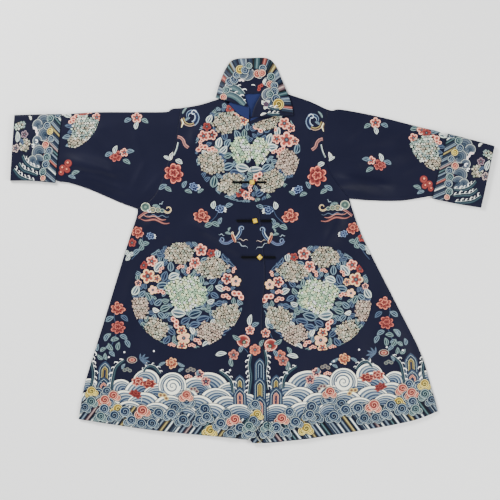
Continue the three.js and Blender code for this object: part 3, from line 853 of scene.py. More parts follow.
def cut(work, depth):
    """Keeps what lies where depth is positive, cutting each triangle along the line where it is zero."""
    value = depth(work["xy"].reshape(-1, 2)).reshape(-1, 3)
    inside = value > 0
    count = inside.sum(1)
    kept = [work[count == 3]]
    for number in (1, 2):
        part, v, flags = work[count == number], value[count == number], inside[count == number]
        if not len(part):
            continue
        lone = np.argmax(flags if number == 1 else ~flags, axis=1)
        order = (lone[:, None] + np.arange(3)) % 3
        p = np.take_along_axis(part["xy"], order[..., None], axis=1)
        v = np.take_along_axis(v, order, axis=1)
        towards_1 = p[:, 0] + (p[:, 1] - p[:, 0]) * (v[:, 0] / (v[:, 0] - v[:, 1]))[:, None]
        towards_2 = p[:, 0] + (p[:, 2] - p[:, 0]) * (v[:, 0] / (v[:, 0] - v[:, 2]))[:, None]
        if number == 1:
            pieces = [np.stack([p[:, 0], towards_1, towards_2], 1)]
        else:
            pieces = [
                np.stack([towards_1, p[:, 1], p[:, 2]], 1),
                np.stack([towards_1, p[:, 2], towards_2], 1),
            ]
        for piece in pieces:
            made = part.copy()
            made["xy"] = piece
            kept.append(made)
    return np.concatenate(kept)


LONGEST = 5.0  # of an area's edges, so that the thread follows the folds


def split(work):
    """Halves the longest edge of each area until none is longer than the cloth's folds allow."""
    done = [work[:0]]
    while len(work):
        p = work["xy"]
        lengths = np.hypot(*np.moveaxis(np.roll(p, -1, axis=1) - p, -1, 0))
        longest = lengths.argmax(1)
        long = lengths.max(1) > LONGEST
        done.append(work[~long])
        work, p, longest = work[long], p[long], longest[long]
        order = (longest[:, None] + np.arange(3)) % 3
        p = np.take_along_axis(p, order[..., None], axis=1)
        middle = (p[:, 0] + p[:, 1]) / 2
        first, second = work.copy(), work.copy()
        first["xy"] = np.stack([p[:, 0], middle, p[:, 2]], 1)
        second["xy"] = np.stack([middle, p[:, 1], p[:, 2]], 1)
        work = np.concatenate([first, second])
    return np.concatenate(done)


# Where motifs overlap, the later one is worked over the earlier: a coarse map holds how high
# the thread already stands
WORKED_PITCH = 3.5
WORKED_FROM = (-720, -600)
OVER = 0.035  # how much higher the later motif is worked
MOTIFS = {"body": [], "hem": [], "cuffs": [], "collar": []}
worked = {cloth: np.zeros((420, 350)) for cloth in MOTIFS}
worked["hem"] = worked["body"]  # the hem's border and the sprays above it overlap


def sew(parts, depth=None, cloth="body"):
    """Works the parts one over the other and over what is there, cut where depth turns negative."""
    for part in parts if isinstance(parts, list) else [parts]:
        part = split(part if depth is None else cut(part, depth))
        if not len(part):
            continue
        corners = part["xy"]
        between = (corners + np.roll(corners, 1, axis=1)) / 2
        spots = np.concatenate([corners.reshape(-1, 2), corners.mean(1), between.reshape(-1, 2)])
        i, j = ((spots - WORKED_FROM) / WORKED_PITCH).astype(int).T
        part = lifted(part, worked[cloth][i, j].max() + OVER)
        worked[cloth][i, j] = part["level"].max()
        MOTIFS[cloth].append(part)


# The roundels: discs packed with blossom, foliage and flower heads and cut off cleanly at their
# edge. The lower two mirror each other; the chest one is worked across both fronts.
WHITE, CREAM = "#f7f7f7", "#decfac"
CORAL, DEEP_CORAL, PINK, PEACH, PLUM = "#95433b", "#6c2625", "#f7b197", "#f7ca95", "#4f2335"
DEEP_RED = "#531317"
SHADE = "#030323"  # the line of bare ground between one area and the next
LEAF_KINDS = {  # edge, light half, dark half, rib
    "blue": ("#6e838e", "#182a3f", "#04132c", "#7f99a5"),
    "dark": ("#4f6176", "#12203d", "#030329", "#596c81"),
    "teal": ("#6d8383", "#233b44", "#051e28", "#91aaa5"),
    "pale": ("#c9d5c9", "#5e727a", "#3f5059", "#f7f7f1"),
    "white": ("#eeefdb", "#94a4a0", "#616f72", "#f7f7f7"),
}


def strip(near, far):
    """The areas between two lines of as many points."""
    return np.concatenate([
        np.stack([near[:-1], near[1:], far[1:]], 1),
        np.stack([near[:-1], far[1:], far[:-1]], 1),
    ])


def leaf(kind, length=27, width=17, bend=2.0):
    edge, light, dark, rib = LEAF_KINDS[kind]
    t = np.linspace(0, 1, 9)
    middle = np.column_stack([(t - 0.5) * length, bend * np.sin(math.pi * t)])
    half = width / 2 * np.sin(math.pi * t**0.85) ** 0.75
    half[[0, -1]] = 0
    up, down = middle + np.column_stack([0 * t, half]), middle - np.column_stack([0 * t, half])
    rim = np.concatenate([up, down[-2:0:-1]])
    sides = []
    for border, colour in ((up, light), (down, dark)):
        corners = strip(middle, middle + (border - middle) * 0.72)
        corners = (corners - middle[4]) * 0.86 + middle[4]
        sides.append(area(corners, colour, 0.6 if border is up else -0.6))
    rib_line = ribbon(middle[1:-1], 1.5, [rib])
    return stack(blob(rim, [(1, edge)], centre=middle[4]), np.concatenate(sides), rib_line)


def petal(size, long, bands):
    """One petal pointing along x from its foot at the origin, shaded from its rim to its foot."""
    return blob(ring(size, 12, 1 / long, (size * long * 0.55, 0)) * (long, 1), bands, centre=(size * 0.3, 0))


def blossom(radius=17, petals=5, rim=PINK, inner=CORAL, heart="#272d33"):
    parts = []
    for k in range(petals):
        one = petal(radius * 0.41, 1.0, [(1, SHADE), (0.91, rim), (0.5, inner)])
        one["xy"] += (radius * 0.34, 0)
        parts.append(placed(one, 0, 0, turn=360 / petals * k + 90))
    parts.append(blob(ring(radius * 0.4, 10), [(1, inner), (0.5, inner)]))
    middle = blob(ring(radius * 0.28, 9), [(1, heart), (0.5, "#5f6b72")])
    return stack(*parts, middle)


def bud(length=20, rim=PINK, inner=CORAL):
    lobes = [
        placed(blob(ring(length * 0.24, 10, 0.85), [(1, rim), (0.55, inner)]), x, y)
        for x, y in ((-length * 0.3, 0), (length * 0.02, length * 0.12), (length * 0.3, -length * 0.05))
    ]
    return stack(*lobes)


PEONY_ROWS = [  # petals, reach of their feet and size as shares of the radius, whether deeper in colour
    (7, 0.42, 0.33, 0), (6, 0.24, 0.29, 1), (5, 0.08, 0.23, 0), (3, 0.0, 0.15, 1),
]  # fmt: skip


def peony(radius=29, rim=PINK, middle=CORAL, deep=DEEP_RED):
    parts = []
    for count, reach, size, deeper in PEONY_ROWS:
        edge, body = ((middle, deep), (rim, middle))[not deeper]
        for k in range(count):
            bands = [(1, deep), (0.92, edge), (0.7, body), (0.36, deep)]
            one = petal(radius * size * dice.uniform(0.85, 1.1), 1.1, bands)
            one["xy"] += (radius * reach * dice.uniform(0.85, 1.1), 0)
            turn = 360 / count * (k + 0.5 * deeper) + dice.uniform(-9, 9)
            parts.append(placed(one, 0, radius * 0.05 * len(parts) ** 0.5, turn=turn))
    return stack(*parts)


FLORET = 7.5  # from one floret of a head to the next
HEAD_KINDS = {  # ground between the florets, and the florets' own threads
    "cream": ("#030303", ("#e8e0c8", "#c1baa2", "#a8a18b", "#a2ab97", "#cab59b")),
    "pink": ("#050303", ("#e5cfba", "#c5ae9c", "#b09888", "#c1b5a1", "#d6b8a5")),
    "mint": ("#2e382f", ("#e3f7cd", "#b1d4a8", "#f7f7f7", "#9dc09e", "#e5eab6")),
    "grey": ("#030f0c", ("#cbe0cc", "#a0b5a8", "#f7f7e6", "#8fa4a0", "#c1b59e")),
}


def floret(colour):
    petals = []
    r = FLORET * 0.56
    for k in range(4):
        upper, lower = [(0.5 * r, 0.4 * r), (r, 0.24 * r)], [(r, -0.24 * r), (0.5 * r, -0.4 * r)]
        corners = np.array([(0.08 * r, 0), *upper, *lower])
        fan = np.array([[corners[0], corners[i], corners[i + 1]] for i in (1, 2, 3)])
        petals.append(placed(area(fan, colour), 0, 0, turn=90 * k))
    return stack(np.concatenate(petals), area(ring(r * 0.2, 4)[[[0, 1, 2], [0, 2, 3]]], "#444335"))


FLORETS = {kind: [floret(c) for c in threads] for kind, (_, threads) in HEAD_KINDS.items()}


def flower_head(kind, wide, tall, turn=0.0):
    """A head of packed florets with an uneven, scalloped edge."""
    ground = HEAD_KINDS[kind][0]
    phase = dice.uniform(0, 6)

    def reach(angle):
        return 1 + 0.07 * math.sin(4 * angle + phase) + 0.05 * math.sin(7 * angle + 2 * phase)

    angles = np.linspace(0, 2 * math.pi, 28, endpoint=False)
    outline = [(wide / 2 * reach(a) * math.cos(a), tall / 2 * reach(a) * math.sin(a)) for a in angles]
    parts = [blob(np.array(outline) * 0.95, [(1, ground), (0.5, ground)])]
    rows = int(tall / FLORET) + 2
    columns = int(wide / FLORET) + 2
    flowers = []
    for row in range(-rows // 2, rows // 2 + 1):
        for column in range(-columns // 2, columns // 2 + 1):
            x = (column + 0.5 * (row % 2)) * FLORET + dice.uniform(-1.1, 1.1)
            y = row * FLORET * 0.88 + dice.uniform(-1.1, 1.1)
            angle = math.atan2(y / tall, x / wide)
            if math.hypot(2 * x / wide, 2 * y / tall) > reach(angle):
                continue
            one = dice.choice(FLORETS[kind])
            one = placed(one, x, y, dice.uniform(0.74, 0.92), dice.uniform(0, 90))
            flowers.append(lifted(one, THREAD_STEP * dice.randrange(3)))
    parts.append(np.concatenate(flowers))
    return placed(stack(*parts), 0, 0, turn=turn)


LOWER_HEADS = [  # kind, x, y, wide, tall, turn
    ("cream", -23, 115, 80, 60, 0), ("cream", 69, 75, 86, 55, 8), ("pink", -131, -36, 50, 64, 0),
    ("cream", -87, -93, 69, 58, -12), ("cream", 109, -58, 80, 69, 12), ("pink", 62, -103, 72, 58, -25),
    ("mint", -2, 6, 112, 94, -14),
]  # fmt: skip
LOWER_BLOSSOMS = [  # x, y, radius, rim, inner
    (37, 124, 19, PINK, CORAL), (21, 89, 17, PINK, CORAL), (-98, 93, 17, PINK, CORAL),
    (-109, 52, 22, PEACH, CORAL), (109, 45, 17, PINK, DEEP_CORAL), (133, 38, 16, PEACH, PINK),
    (-10, -118, 20, PEACH, PINK), (-95, 14, 14, PEACH, PINK), (-16, -97, 15, PEACH, CORAL),
    (-135, 33, 10, PINK, PLUM), (65, 115, 13, CORAL, DEEP_CORAL), (-120, 82, 13, CORAL, DEEP_CORAL),
    (-15, -139, 15, PEACH, CORAL), (-84, 45, 12, PEACH, CORAL),
]  # fmt: skip
LOWER_BUDS = [  # x, y, length, turn
    (-34, -75, 32, -60), (129, 70, 20, 60), (106, 17, 22, 0), (139, 0, 36, -25), (106, -4, 26, -10),
    (-73, 9, 24, -10), (-43, -137, 20, 0), (28, -127, 24, -30), (12, -138, 20, 0), (-19, 77, 20, 20),
    (5, 70, 22, 65), (-72, 70, 20, 60), (84, 128, 14, 40),
]  # fmt: skip
LOWER_LEAVES = [  # kind, x, y, length, turn
    ("pale", -24, -48, 42, -8), ("blue", 21, -52, 40, 18), ("dark", -5, -71, 30, 30),
    ("dark", 43, -65, 38, 15), ("teal", 62, 20, 22, 50), ("pale", 88, 18, 27, 150),
    ("dark", 75, -1, 26, -30), ("pale", 64, -16, 22, 20), ("dark", 89, -23, 24, 10),
    ("dark", 70, 39, 24, 40), ("teal", 129, -16, 20, 100), ("pale", 72, -75, 22, 60),
    ("pale", -143, 14, 32, 60), ("blue", -125, 4, 24, 40), ("teal", -108, -4, 26, 120),
    ("dark", 107, -100, 32, 30), ("dark", -43, -101, 26, -40), ("white", 12, -98, 22, 120),
    ("pale", 53, -135, 26, 30), ("dark", -57, -122, 28, 50), ("blue", -46, 78, 28, 90),
    ("pale", -37, 51, 32, 20), ("teal", 13, 53, 26, 60), ("blue", 47, 96, 24, 20),
    ("pale", 84, 115, 26, 80), ("dark", 118, 86, 30, -40), ("blue", -67, 26, 36, 5),
    ("blue", -81, -19, 26, 40), ("white", -86, -40, 20, -20), ("teal", -61, -37, 30, 20),
    ("blue", -73, -57, 24, -50), ("dark", -62, 52, 30, 70), ("pale", -78, 78, 36, 50),
    ("teal", 40, 42, 24, 100), ("dark", 105, 102, 30, -50), ("blue", -94, -62, 24, 60),
    ("dark", 20, -82, 30, 10), ("dark", -20, 42, 24, 90), ("blue", 33, -30, 26, 10),
    ("teal", -60, -14, 22, 0), ("blue", 146, -46, 24, 80), ("teal", -118, -84, 26, -50),
    ("blue", -92, 118, 22, 30), ("dark", 90, 62, 26, -20),
]  # fmt: skip
CHEST_HEADS = [
    ("cream", -57, 74, 80, 60, 10), ("cream", -100, -36, 76, 62, -25), ("cream", -46, -93, 75, 56, 25),
    ("pink", 111, -33, 62, 72, 10), ("cream", 63, -87, 76, 58, 20), ("cream", 53, 78, 72, 50, 15),
    ("mint", -19, 0, 56, 76, 4), ("mint", 33, -3, 56, 74, -8),
]  # fmt: skip
CHEST_BLOSSOMS = [
    (-121, 38, 17, PINK, CORAL), (-98, 41, 16, PINK, DEEP_CORAL), (-11, 81, 15, PEACH, CORAL),
    (101, 73, 18, PINK, CORAL), (107, 28, 24, PINK, CORAL), (-48, 113, 13, CORAL, DEEP_CORAL),
    (-112, 64, 13, CORAL, DEEP_CORAL), (119, 60, 13, PINK, DEEP_CORAL),
    (-21, -117, 15, CORAL, DEEP_CORAL), (-4, -124, 13, PINK, CORAL), (80, 30, 15, PINK, CORAL),
    (130, 24, 12, PINK, DEEP_CORAL),
]  # fmt: skip
CHEST_BUDS = [
    (-126, 5, 32, 25), (-97, 0, 28, -5), (29, 58, 28, -30), (92, -3, 28, 60), (77, -5, 22, 10),
    (26, -75, 34, 55), (8, -104, 22, 90), (-30, 92, 22, -50), (75, 60, 20, -60), (-128, 20, 20, 80),
    (10, -134, 16, 0),
]  # fmt: skip
CHEST_LEAVES = [
    ("teal", -82, 95, 26, 40), ("pale", -105, 85, 26, 60), ("teal", -35, 95, 24, 30),
    ("blue", -30, 41, 28, 110), ("dark", -63, 39, 26, 100), ("pale", -77, 20, 30, 80),
    ("blue", -54, 18, 26, 60), ("pale", -67, 1, 28, 45), ("teal", -54, -15, 26, 20),
    ("dark", -77, -17, 30, 10), ("pale", -118, -13, 28, 120), ("pale", -96, -8, 24, 90),
    ("teal", -9, 46, 24, 90), ("dark", 54, 60, 30, 70), ("pale", 61, 30, 32, 75),
    ("pale", 67, 8, 34, 5), ("dark", 42, 32, 26, 50), ("blue", 135, 4, 30, 80),
    ("blue", -53, -45, 34, 20), ("dark", -32, -62, 34, -10), ("pale", -14, -48, 38, -10),
    ("pale", 21, -55, 40, 8), ("blue", 52, -48, 30, 35), ("teal", -93, -87, 34, 80),
    ("blue", -63, -73, 26, 50), ("dark", 40, -62, 24, 20), ("dark", 92, -62, 28, 40),
    ("blue", -134, -30, 26, 75), ("blue", 14, 84, 22, 60), ("dark", 85, 100, 28, -40),
    ("pale", 83, 88, 26, 30), ("teal", 128, 80, 24, 100), ("pale", 84, 50, 26, 80),
    ("dark", -85, 60, 24, 40), ("blue", 0, 64, 22, 90), ("teal", 8, -68, 22, -30),
    ("blue", -30, -118, 26, 20), ("dark", 34, -118, 30, 30), ("blue", 100, -75, 28, 60),
    ("dark", -70, -28, 24, 0),
]  # fmt: skip


FILLER_TRIES = 1500
FILLER_ROOM = 3.0


def roundel(radius, heads, blossoms, buds, leaves):
    """All its motifs, and below them small leaves that fill the ground wherever one has room."""
    parts, taken = [], []

    def add(work, x, y, reach):
        parts.append(work)
        taken.append((x, y, reach))

    for kind, x, y, length, turn in leaves:
        work = leaf(kind, length, length * 0.64, dice.uniform(-3, 3))
        add(tinted(placed(work, x, y, turn=turn)), x, y, length * 0.42)
    for x, y, reach, rim, inner in blossoms:
        work = blossom(reach, 5, rim, inner)
        add(tinted(placed(work, x, y, turn=dice.uniform(0, 72))), x, y, reach)
    for x, y, length, turn in buds:
        add(tinted(placed(bud(length), x, y, turn=turn)), x, y, length * 0.4)
    for kind, x, y, wide, tall, turn in heads:
        add(placed(flower_head(kind, wide, tall, turn), x, y), x, y, (wide + tall) / 4)
    fillers = []
    for _ in range(FILLER_TRIES):
        angle, out = dice.uniform(0, 2 * math.pi), radius * math.sqrt(dice.random())
        x, y = out * math.cos(angle), out * math.sin(angle)
        if min(math.hypot(x - a, y - b) - r for a, b, r in taken) < FILLER_ROOM:
            continue
        kind = dice.choice(("blue", "dark", "teal", "blue", "dark"))
        length = dice.uniform(15, 21)
        fillers.append(placed(leaf(kind, length, length * 0.6), x, y, turn=dice.uniform(0, 180)))
        taken.append((x, y, length * 0.36))
    return fillers + parts


# Where they are worked: x and y of the middle, and half the width and the height
LOWER_RIGHT = (-178.8, -123.8, 155, 147)
LOWER_LEFT = (177.4, -132, 150, 144)
CHEST = (-13.5, 275, 144, 144)
lower = roundel(150, LOWER_HEADS, LOWER_BLOSSOMS, LOWER_BUDS, LOWER_LEAVES)
sew([placed(part, *LOWER_RIGHT[:2]) for part in lower], inside_ring(*LOWER_RIGHT))
sew([placed(part, *LOWER_LEFT[:2], 0.98, mirror=True) for part in lower], inside_ring(*LOWER_LEFT))
chest = roundel(144, CHEST_HEADS, CHEST_BLOSSOMS, CHEST_BUDS, CHEST_LEAVES)
sew([placed(part, *CHEST[:2]) for part in chest], inside_ring(*CHEST))


# The hem border: slanted stripes of deep water along the edge, rows of clouds over them,
# arched waves behind the clouds, and rocks with foam at the sides and at the front opening.
MIRROR_X = 15  # the two halves of the hem mirror each other about this line
WAVE_TONES = ("#506073", "#384960", "#293a52", "#1c2f49", "#142640", "#081d38")
CREST = "#f7f7e2"


def nested(bands, sweep=(-20, 200), count=30):
    """Arched bands laid inwards, each (radius, x, y of its middle, colour)."""
    parts = []
    for (radius, x, y, colour), following in zip(bands, [*bands[1:], (0.1, bands[-1][1], bands[-1][2], "")]):
        angles = np.radians(np.linspace(*sweep, count))
        way = np.column_stack([np.cos(angles), np.sin(angles)])
        outer = way * radius + (x, y)
        inner = way * following[0] + following[1:3]
        lie = angles[:-1] + math.pi / 2
        parts.append(area(strip(outer, inner), colour, np.concatenate([lie, lie])))
    return np.concatenate(parts)


HILL_LINES = ("#b2b9b3", "#8c9aa2", "#6d7c89", "#586575", "#485566")  # the pale lines, from the crest in


GROUND_LINE = 1.4  # bare ground shows round a wave or a swell
BAND = 5.6  # a blue band together with its pale line
BLUE = 3.0  # and the blue of it alone


def hill(half_width, lean=0.0):
    """A wave: a thick pale crest over pale lines on blue that deepens inwards. Its arches draw
    together towards the side that it leans away from."""
    rings = [(half_width, SHADE), (half_width - GROUND_LINE, CREST)]
    reach, k = half_width - BAND, 0
    while reach > 4:
        tone, line = (colours[min(k, len(colours) - 1)] for colours in (WAVE_TONES, HILL_LINES))
        rings += [(reach, tone), (reach - BLUE, line)]
        reach -= BAND
        k += 1
    slips = [(r, 0.95 * lean * (half_width - r), tone) for r, tone in rings]
    return nested([(r, -slip, -0.5 * abs(slip), tone) for r, slip, tone in slips])


SWELL_TONES = ("#434c5a", "#5b656e", "#354150", "#4a5661", "#223143", "#33414e", "#112538")


def shell_lobe(radius):
    """A swell shaded from pale to grey, with a white line round it."""
    bands = [(radius, 0, 0, SHADE), (radius - GROUND_LINE, 0, 0, "#bbc3bb")]
    step_in = (radius - 4) / len(SWELL_TONES)
    for k, tone in enumerate(SWELL_TONES):
        bands.append((radius - 2 * GROUND_LINE - k * step_in, 0, -0.3 * k * step_in, tone))
    return nested(bands, (-60, 240))


def spiral(radius, width, turns, colours, start=0.0):
    t = np.linspace(0, 1, int(18 * turns) + 2)
    angle = start + 2 * math.pi * turns * t
    reach = radius * (1 - 0.93 * t)
    path = np.column_stack([reach * np.cos(angle), reach * np.sin(angle)])
    return ribbon(path, width * (1 - 0.5 * t), colours)


CLOUD_KINDS = {  # outline, body, line, deeper body
    "blue": ("#b2c1bd", "#182a43", "#7d909c", "#030e2c"),
    "deep": ("#9eaeaf", "#10233c", "#6b7e8b", "#03031c"),
    "teal": ("#adc1b9", "#243b44", "#7d9593", "#031b26"),
    "coral": ("#f7d0b1", "#893d38", "#f09d83", "#63211f"),
    "yellow": ("#ebdd8e", "#8b7125", "#efd96e", "#4e4523"),
}


def cloud_lobe(kind, radius=15.0, turn=0.0):
    """One curl of a cloud: a disc that deepens inwards, with a pale line rolled up in it."""
    edge, body, line, deep = CLOUD_KINDS[kind]
    bands = [(radius, 0, 0, edge), (radius - 1.35, 0, 0, body), (radius * 0.5, 0, 0, deep)]
    disc = nested(bands, (0, 360), 17)
    return stack(disc, spiral(radius - 3.4, 1.9, 1.55, (line,), turn))


CLOUD_CURLS = [(-0.85, -0.3, 0.85), (0.9, -0.25, 0.75), (0.05, 0.4, 1.1)]  # x, y and radius, as shares
HALO = 1.6  # bare ground round a cloud


def cloud(kind, x, y, radius=9.5, cloth="hem"):
    """A cloud of three curls that share one outline of bare ground."""
    turn = dice.uniform(-12, 12)
    shade = [
        blob(ring(radius * r + HALO, 16, 1.0, (radius * a, radius * b)), [(1, SHADE)])
        for a, b, r in CLOUD_CURLS
    ]
    curls = [
        placed(cloud_lobe(kind, radius * r, 3.6 if a else -1.6), radius * a, radius * b, mirror=a < 0)
        for a, b, r in CLOUD_CURLS
    ]
    sew(tinted(placed(stack(np.concatenate(shade), *curls), x, y, turn=turn), 0.08), cloth=cloth)


def arch(wide, tall):
    """Outline of a rock: upright sides and a pointed, slightly swelling top; its foot is at y = 0."""
    t = np.linspace(0, 1, 7)
    side = np.column_stack([wide / 2 * (1 - t**2.2), tall - wide * 0.75 * (1 - t)])
    left = side[::-1] * (-1, 1)
    return np.concatenate([[(wide / 2, 0)], side, left[1:], [(-wide / 2, 0)]])


ROCK_BLUE = [(SHADE, 1.6), ("#28394f", 3.6), ("#8c9ea5", 1.3), ("#03031e", 2.2), ("#1e3147", 3.0)]
ROCK_HEARTS = {  # what the blue bands close on
    "blue": [("#7d95a1", 1.3), ("#030d2b", 2.2), ("#2c3e54", 9)],
    "gold": [("#cdc378", 1.2), ("#030d2b", 1.6), ("#816b33", 2.6), ("#0b1c39", 9)],
    "coral": [("#e7a78a", 1.2), ("#6e2f2c", 1.8), ("#d68f75", 1.4), ("#0b1c39", 9)],
}


def rock(wide, tall, heart):
    """Nested arches, each (tone, how wide it shows) inside the one before."""
    parts, inset = [], 0.0
    for tone, shows in ROCK_BLUE + ROCK_HEARTS[heart]:
        w, h = wide - 2 * inset, tall - 1.5 * inset
        if w < 2.5:
            break
        parts.append(blob(arch(w, h), [(1, tone)], centre=(0, h * 0.4), grain=0.0))
        inset += shows
    return stack(*parts)


def claw(size=6.0):
    """A tooth of foam that rises along y and hooks over at its tip."""
    t = np.linspace(0, 1, 8)
    path = np.column_stack([size * 0.42 * (1 - np.cos(2.9 * t)), size * 0.85 * np.sin(2.3 * t)])
    return ribbon(path, size * (0.4 - 0.3 * t), ("#f7f7f1",))


def even_path(path, pitch=4.2):
    path = np.asarray(path, float)
    length = np.hypot(*np.diff(path, axis=0).T).sum()
    return rail(path, np.linspace(0, 1, max(4, int(length / pitch))))


FOAM_TONES = ("#030a20", "#182e39", "#374b51", "#071d2d")


def foam(path, reach=9.0, flip=1, tones=FOAM_TONES, size=6.2):
    """A wave's back with a pale line along it and white claws curling off its outer side."""
    line = even_path(path, size * 0.42)
    taper = reach * np.sin(math.pi * np.linspace(0.12, 0.8, len(line))) ** 0.5
    body = ribbon(line, taper, tones if flip < 0 else tones[::-1])
    along = directions(line)
    out = np.column_stack([along[:, 1], -along[:, 0]]) * flip
    lip = ribbon(line + out * (taper[:, None] * 0.5 + 0.2), 1.4, ("#a5b4b0",))
    parts = [body, lip]
    for k in range(1, len(line) - 1, 4):
        x, y = line[k] + out[k] * taper[k] * 0.5
        turn = math.degrees(math.atan2(out[k, 1], out[k, 0])) - 90
        parts.append(placed(claw(size * (1.25 if k % 8 > 3 else 0.95)), x, y, turn=turn, mirror=flip > 0))
    return stack(*parts)


def both(work, x, y, cloth="hem", **settings):
    """Sews a motif and its mirror image in the other half of the hem."""
    sew(placed(work, x, y, **settings), cloth=cloth)
    settings["mirror"] = not settings.get("mirror", False)
    settings["turn"] = -settings.get("turn", 0)
    rise = 22 * (0 if x > -60 else min(1, (-60 - x) / 300))  # that half lies higher towards the side
    sew(placed(work, 2 * MIRROR_X - x, y + rise, **settings), cloth=cloth)


# Water stripes, each a slanted tube shaded across its width
WATER = {
    "deep": ("#030314", "#121f34", "#243141", "#030520", "#76838b"),
    "steel": ("#0e1d2f", "#4c5868", "#7d8e99", "#384555", "#03031d"),
    "pale": ("#142133", "#8b9a9f", "#f7f7e5", "#66757f", "#03031d"),
    "teal": ("#03111a", "#243e44", "#576f71", "#112d35", "#030303"),
    "gold": ("#3a3628", "#73643f", "#ac9f64", "#5c5238", "#0c0c15"),
    "mauve": ("#2c202c", "#695558", "#aa928b", "#534246", "#030314"),
    "coral": ("#3e151a", "#7d3c37", "#b26b5e", "#632e2c", "#030314"),
}
HEM_STRIPES = (
    "deep", "steel", "pale", "steel", "gold", "pale", "deep", "pale", "steel", "mauve", "pale", "steel",
    "teal", "pale", "deep", "pale", "gold", "steel", "pale", "teal",
)  # fmt: skip
STRIPE_PITCH = 13.5
STRIPES_FROM, STRIPES_TO = -580, 580
STRIPES_MEET = 20  # they lean towards this line from both sides


def hem_line(x):
    line = np.concatenate([even(HEM_RIGHT, 80), even(HEM_LEFT, 80)[12:]])
    return np.interp(x, line[:, 0], line[:, 1])


def water_stripes():
    parts = []
    for k in range(int((STRIPES_TO - STRIPES_FROM) / STRIPE_PITCH)):
        x = STRIPES_FROM + k * STRIPE_PITCH
        lean = 0.75 if x < STRIPES_MEET else -0.75
        foot = np.array([x, hem_line(x) - 4])
        path = [foot + (lean * rise, rise) for rise in (0, 20, 40, 56)]
        across = STRIPE_PITCH / math.hypot(1, lean)
        parts.append(tinted(ribbon(path, across, WATER[HEM_STRIPES[k % len(HEM_STRIPES)]]), 0.1))
    return parts


HILLS = [  # x and y of the top, half width, lean; one half of the hem, from the back row to the front
    (-291, -327, 34, 0.5), (-123, -335, 56, 0.7), (-362, -354, 28, -0.4), (-448, -352, 26, 0.3),
    (-301, -352, 48, -0.5), (-60, -362, 40, 0.6), (-156, -349, 40, -0.5), (-403, -378, 30, 0.5),
    (-440, -384, 34, -0.4), (-255, -366, 46, 0.6), (-353, -384, 36, -0.7), (-184, -378, 34, 0.5),
    (-100, -378, 44, -0.6), (-22, -392, 40, 0.4), (-300, -390, 46, 0.8), (-392, -408, 36, 0.5),
    (-230, -398, 42, -0.6), (-150, -398, 44, 0.7), (-71, -400, 40, -0.7), (-340, -414, 40, -0.5),
    (-264, -418, 42, 0.6), (-190, -422, 40, -0.5), (-110, -420, 44, 0.6), (-40, -422, 44, -0.5),
]  # fmt: skip
for x, top, half, lean in HILLS:
    wave = placed(tinted(hill(half * 1.12, lean), 0.06), 0, 0, squash=0.9)
    both(wave, x, top - half, turn=14 * lean + dice.uniform(-5, 5))

# Where the waves meet, one rolls up into a spiral
eye = blob(ring(26, 24), [(1, "#33445d"), (0.92, CREST)])
both(stack(hill(39), eye, spiral(21, 4.4, 1.9, ("#3f5065",))), -220, -374)

ROCKS = [  # wide, tall, heart, x and y of its foot, turn; at the sides and beside the opening
    (40, 80, "gold", -408, -382, -3), (42, 68, "coral", -411, -414, -3),
    (34, 76, "gold", -33, -416, 2), (38, 50, "coral", -34, -424, 2),
]  # fmt: skip
for wide, tall, heart, x, y, turn in ROCKS:
    both(rock(wide, tall, heart), x, y, turn=turn)

# Foam curls off both flanks of the rocks and off one wave: its line, its width, the side that
# its claws are on and their size
FOAM_LINES = [
    ([(-432, -262), (-444, -300), (-438, -340), (-444, -378)], 9, -1, 8),
    ([(-352, -302), (-374, -322), (-382, -350), (-388, -384)], 9, 1, 8),
    ([(-2, -286), (-8, -315), (-4, -350), (-10, -396)], 9, 1, 8),
    ([(-92, -332), (-70, -348), (-58, -366), (-54, -392)], 9, -1, 8),
    ([(-300, -334), (-286, -320), (-270, -322), (-254, -340)], 8, -1, 7),
]
LEFT_RISE = 12  # the wearer's left half of the hem lies this much higher
for side in (1, -1):
    for line, reach, flip, size in FOAM_LINES:
        if side < 0:
            line = [(2 * MIRROR_X - x, y + LEFT_RISE) for x, y in line]
        sew(foam(line, reach, side * flip, size=size), cloth="hem")

# Three more rocks stand one before the other right at the opening
OPENING_X = 20
for wide, tall, heart, y in ((32, 78, "blue", -372), (36, 72, "gold", -420), (40, 72, "coral", -470)):
    sew(placed(rock(wide, tall, heart), OPENING_X, y), cloth="hem")

sew(np.concatenate(water_stripes()), cloth="hem")

CLOUDS = [  # kind, x, y, radius; one half of the hem, from the back row to the front
    ("blue", -424, -396, 14), ("yellow", -442, -392, 13), ("blue", -400, -392, 13),
    ("coral", -382, -404, 14), ("blue", -392, -424, 13), ("coral", -407, -416, 14),
    ("teal", -444, -420, 14), ("deep", -462, -436, 13), ("blue", -408, -441, 14),
    ("yellow", -371, -441, 14), ("blue", -351, -449, 15), ("deep", -380, -459, 14),
    ("teal", -418, -461, 13), ("blue", -334, -472, 14), ("blue", -281, -452, 14),
    ("coral", -302, -446, 16), ("deep", -306, -480, 13), ("blue", -258, -452, 15),
    ("deep", -276, -480, 14), ("deep", -214, -437, 14), ("blue", -224, -455, 15),
    ("blue", -180, -419, 16), ("coral", -182, -403, 14), ("deep", -192, -471, 15),
    ("blue", -132, -442, 16), ("deep", -146, -471, 14), ("blue", -126, -463, 14),
    ("blue", -72, -453, 14), ("yellow", -117, -500, 15), ("blue", -88, -481, 15),
    ("coral", -50, -470, 15), ("blue", -35, -494, 15), ("deep", -62, -506, 12), ("blue", 6, -428, 13),
    ("yellow", 12, -455, 13), ("deep", 2, -474, 14), ("blue", -10, -505, 14), ("teal", -10, -488, 13),
]  # fmt: skip
CURL = 0.86  # a curl beside the whole cloud
for kind, x, y, radius in CLOUDS:
    cloud(kind, x, y, radius * CURL)
    if x < 0:
        cloud(kind, 2 * MIRROR_X - x, y + 20 * min(1, -x / 400), radius * CURL)

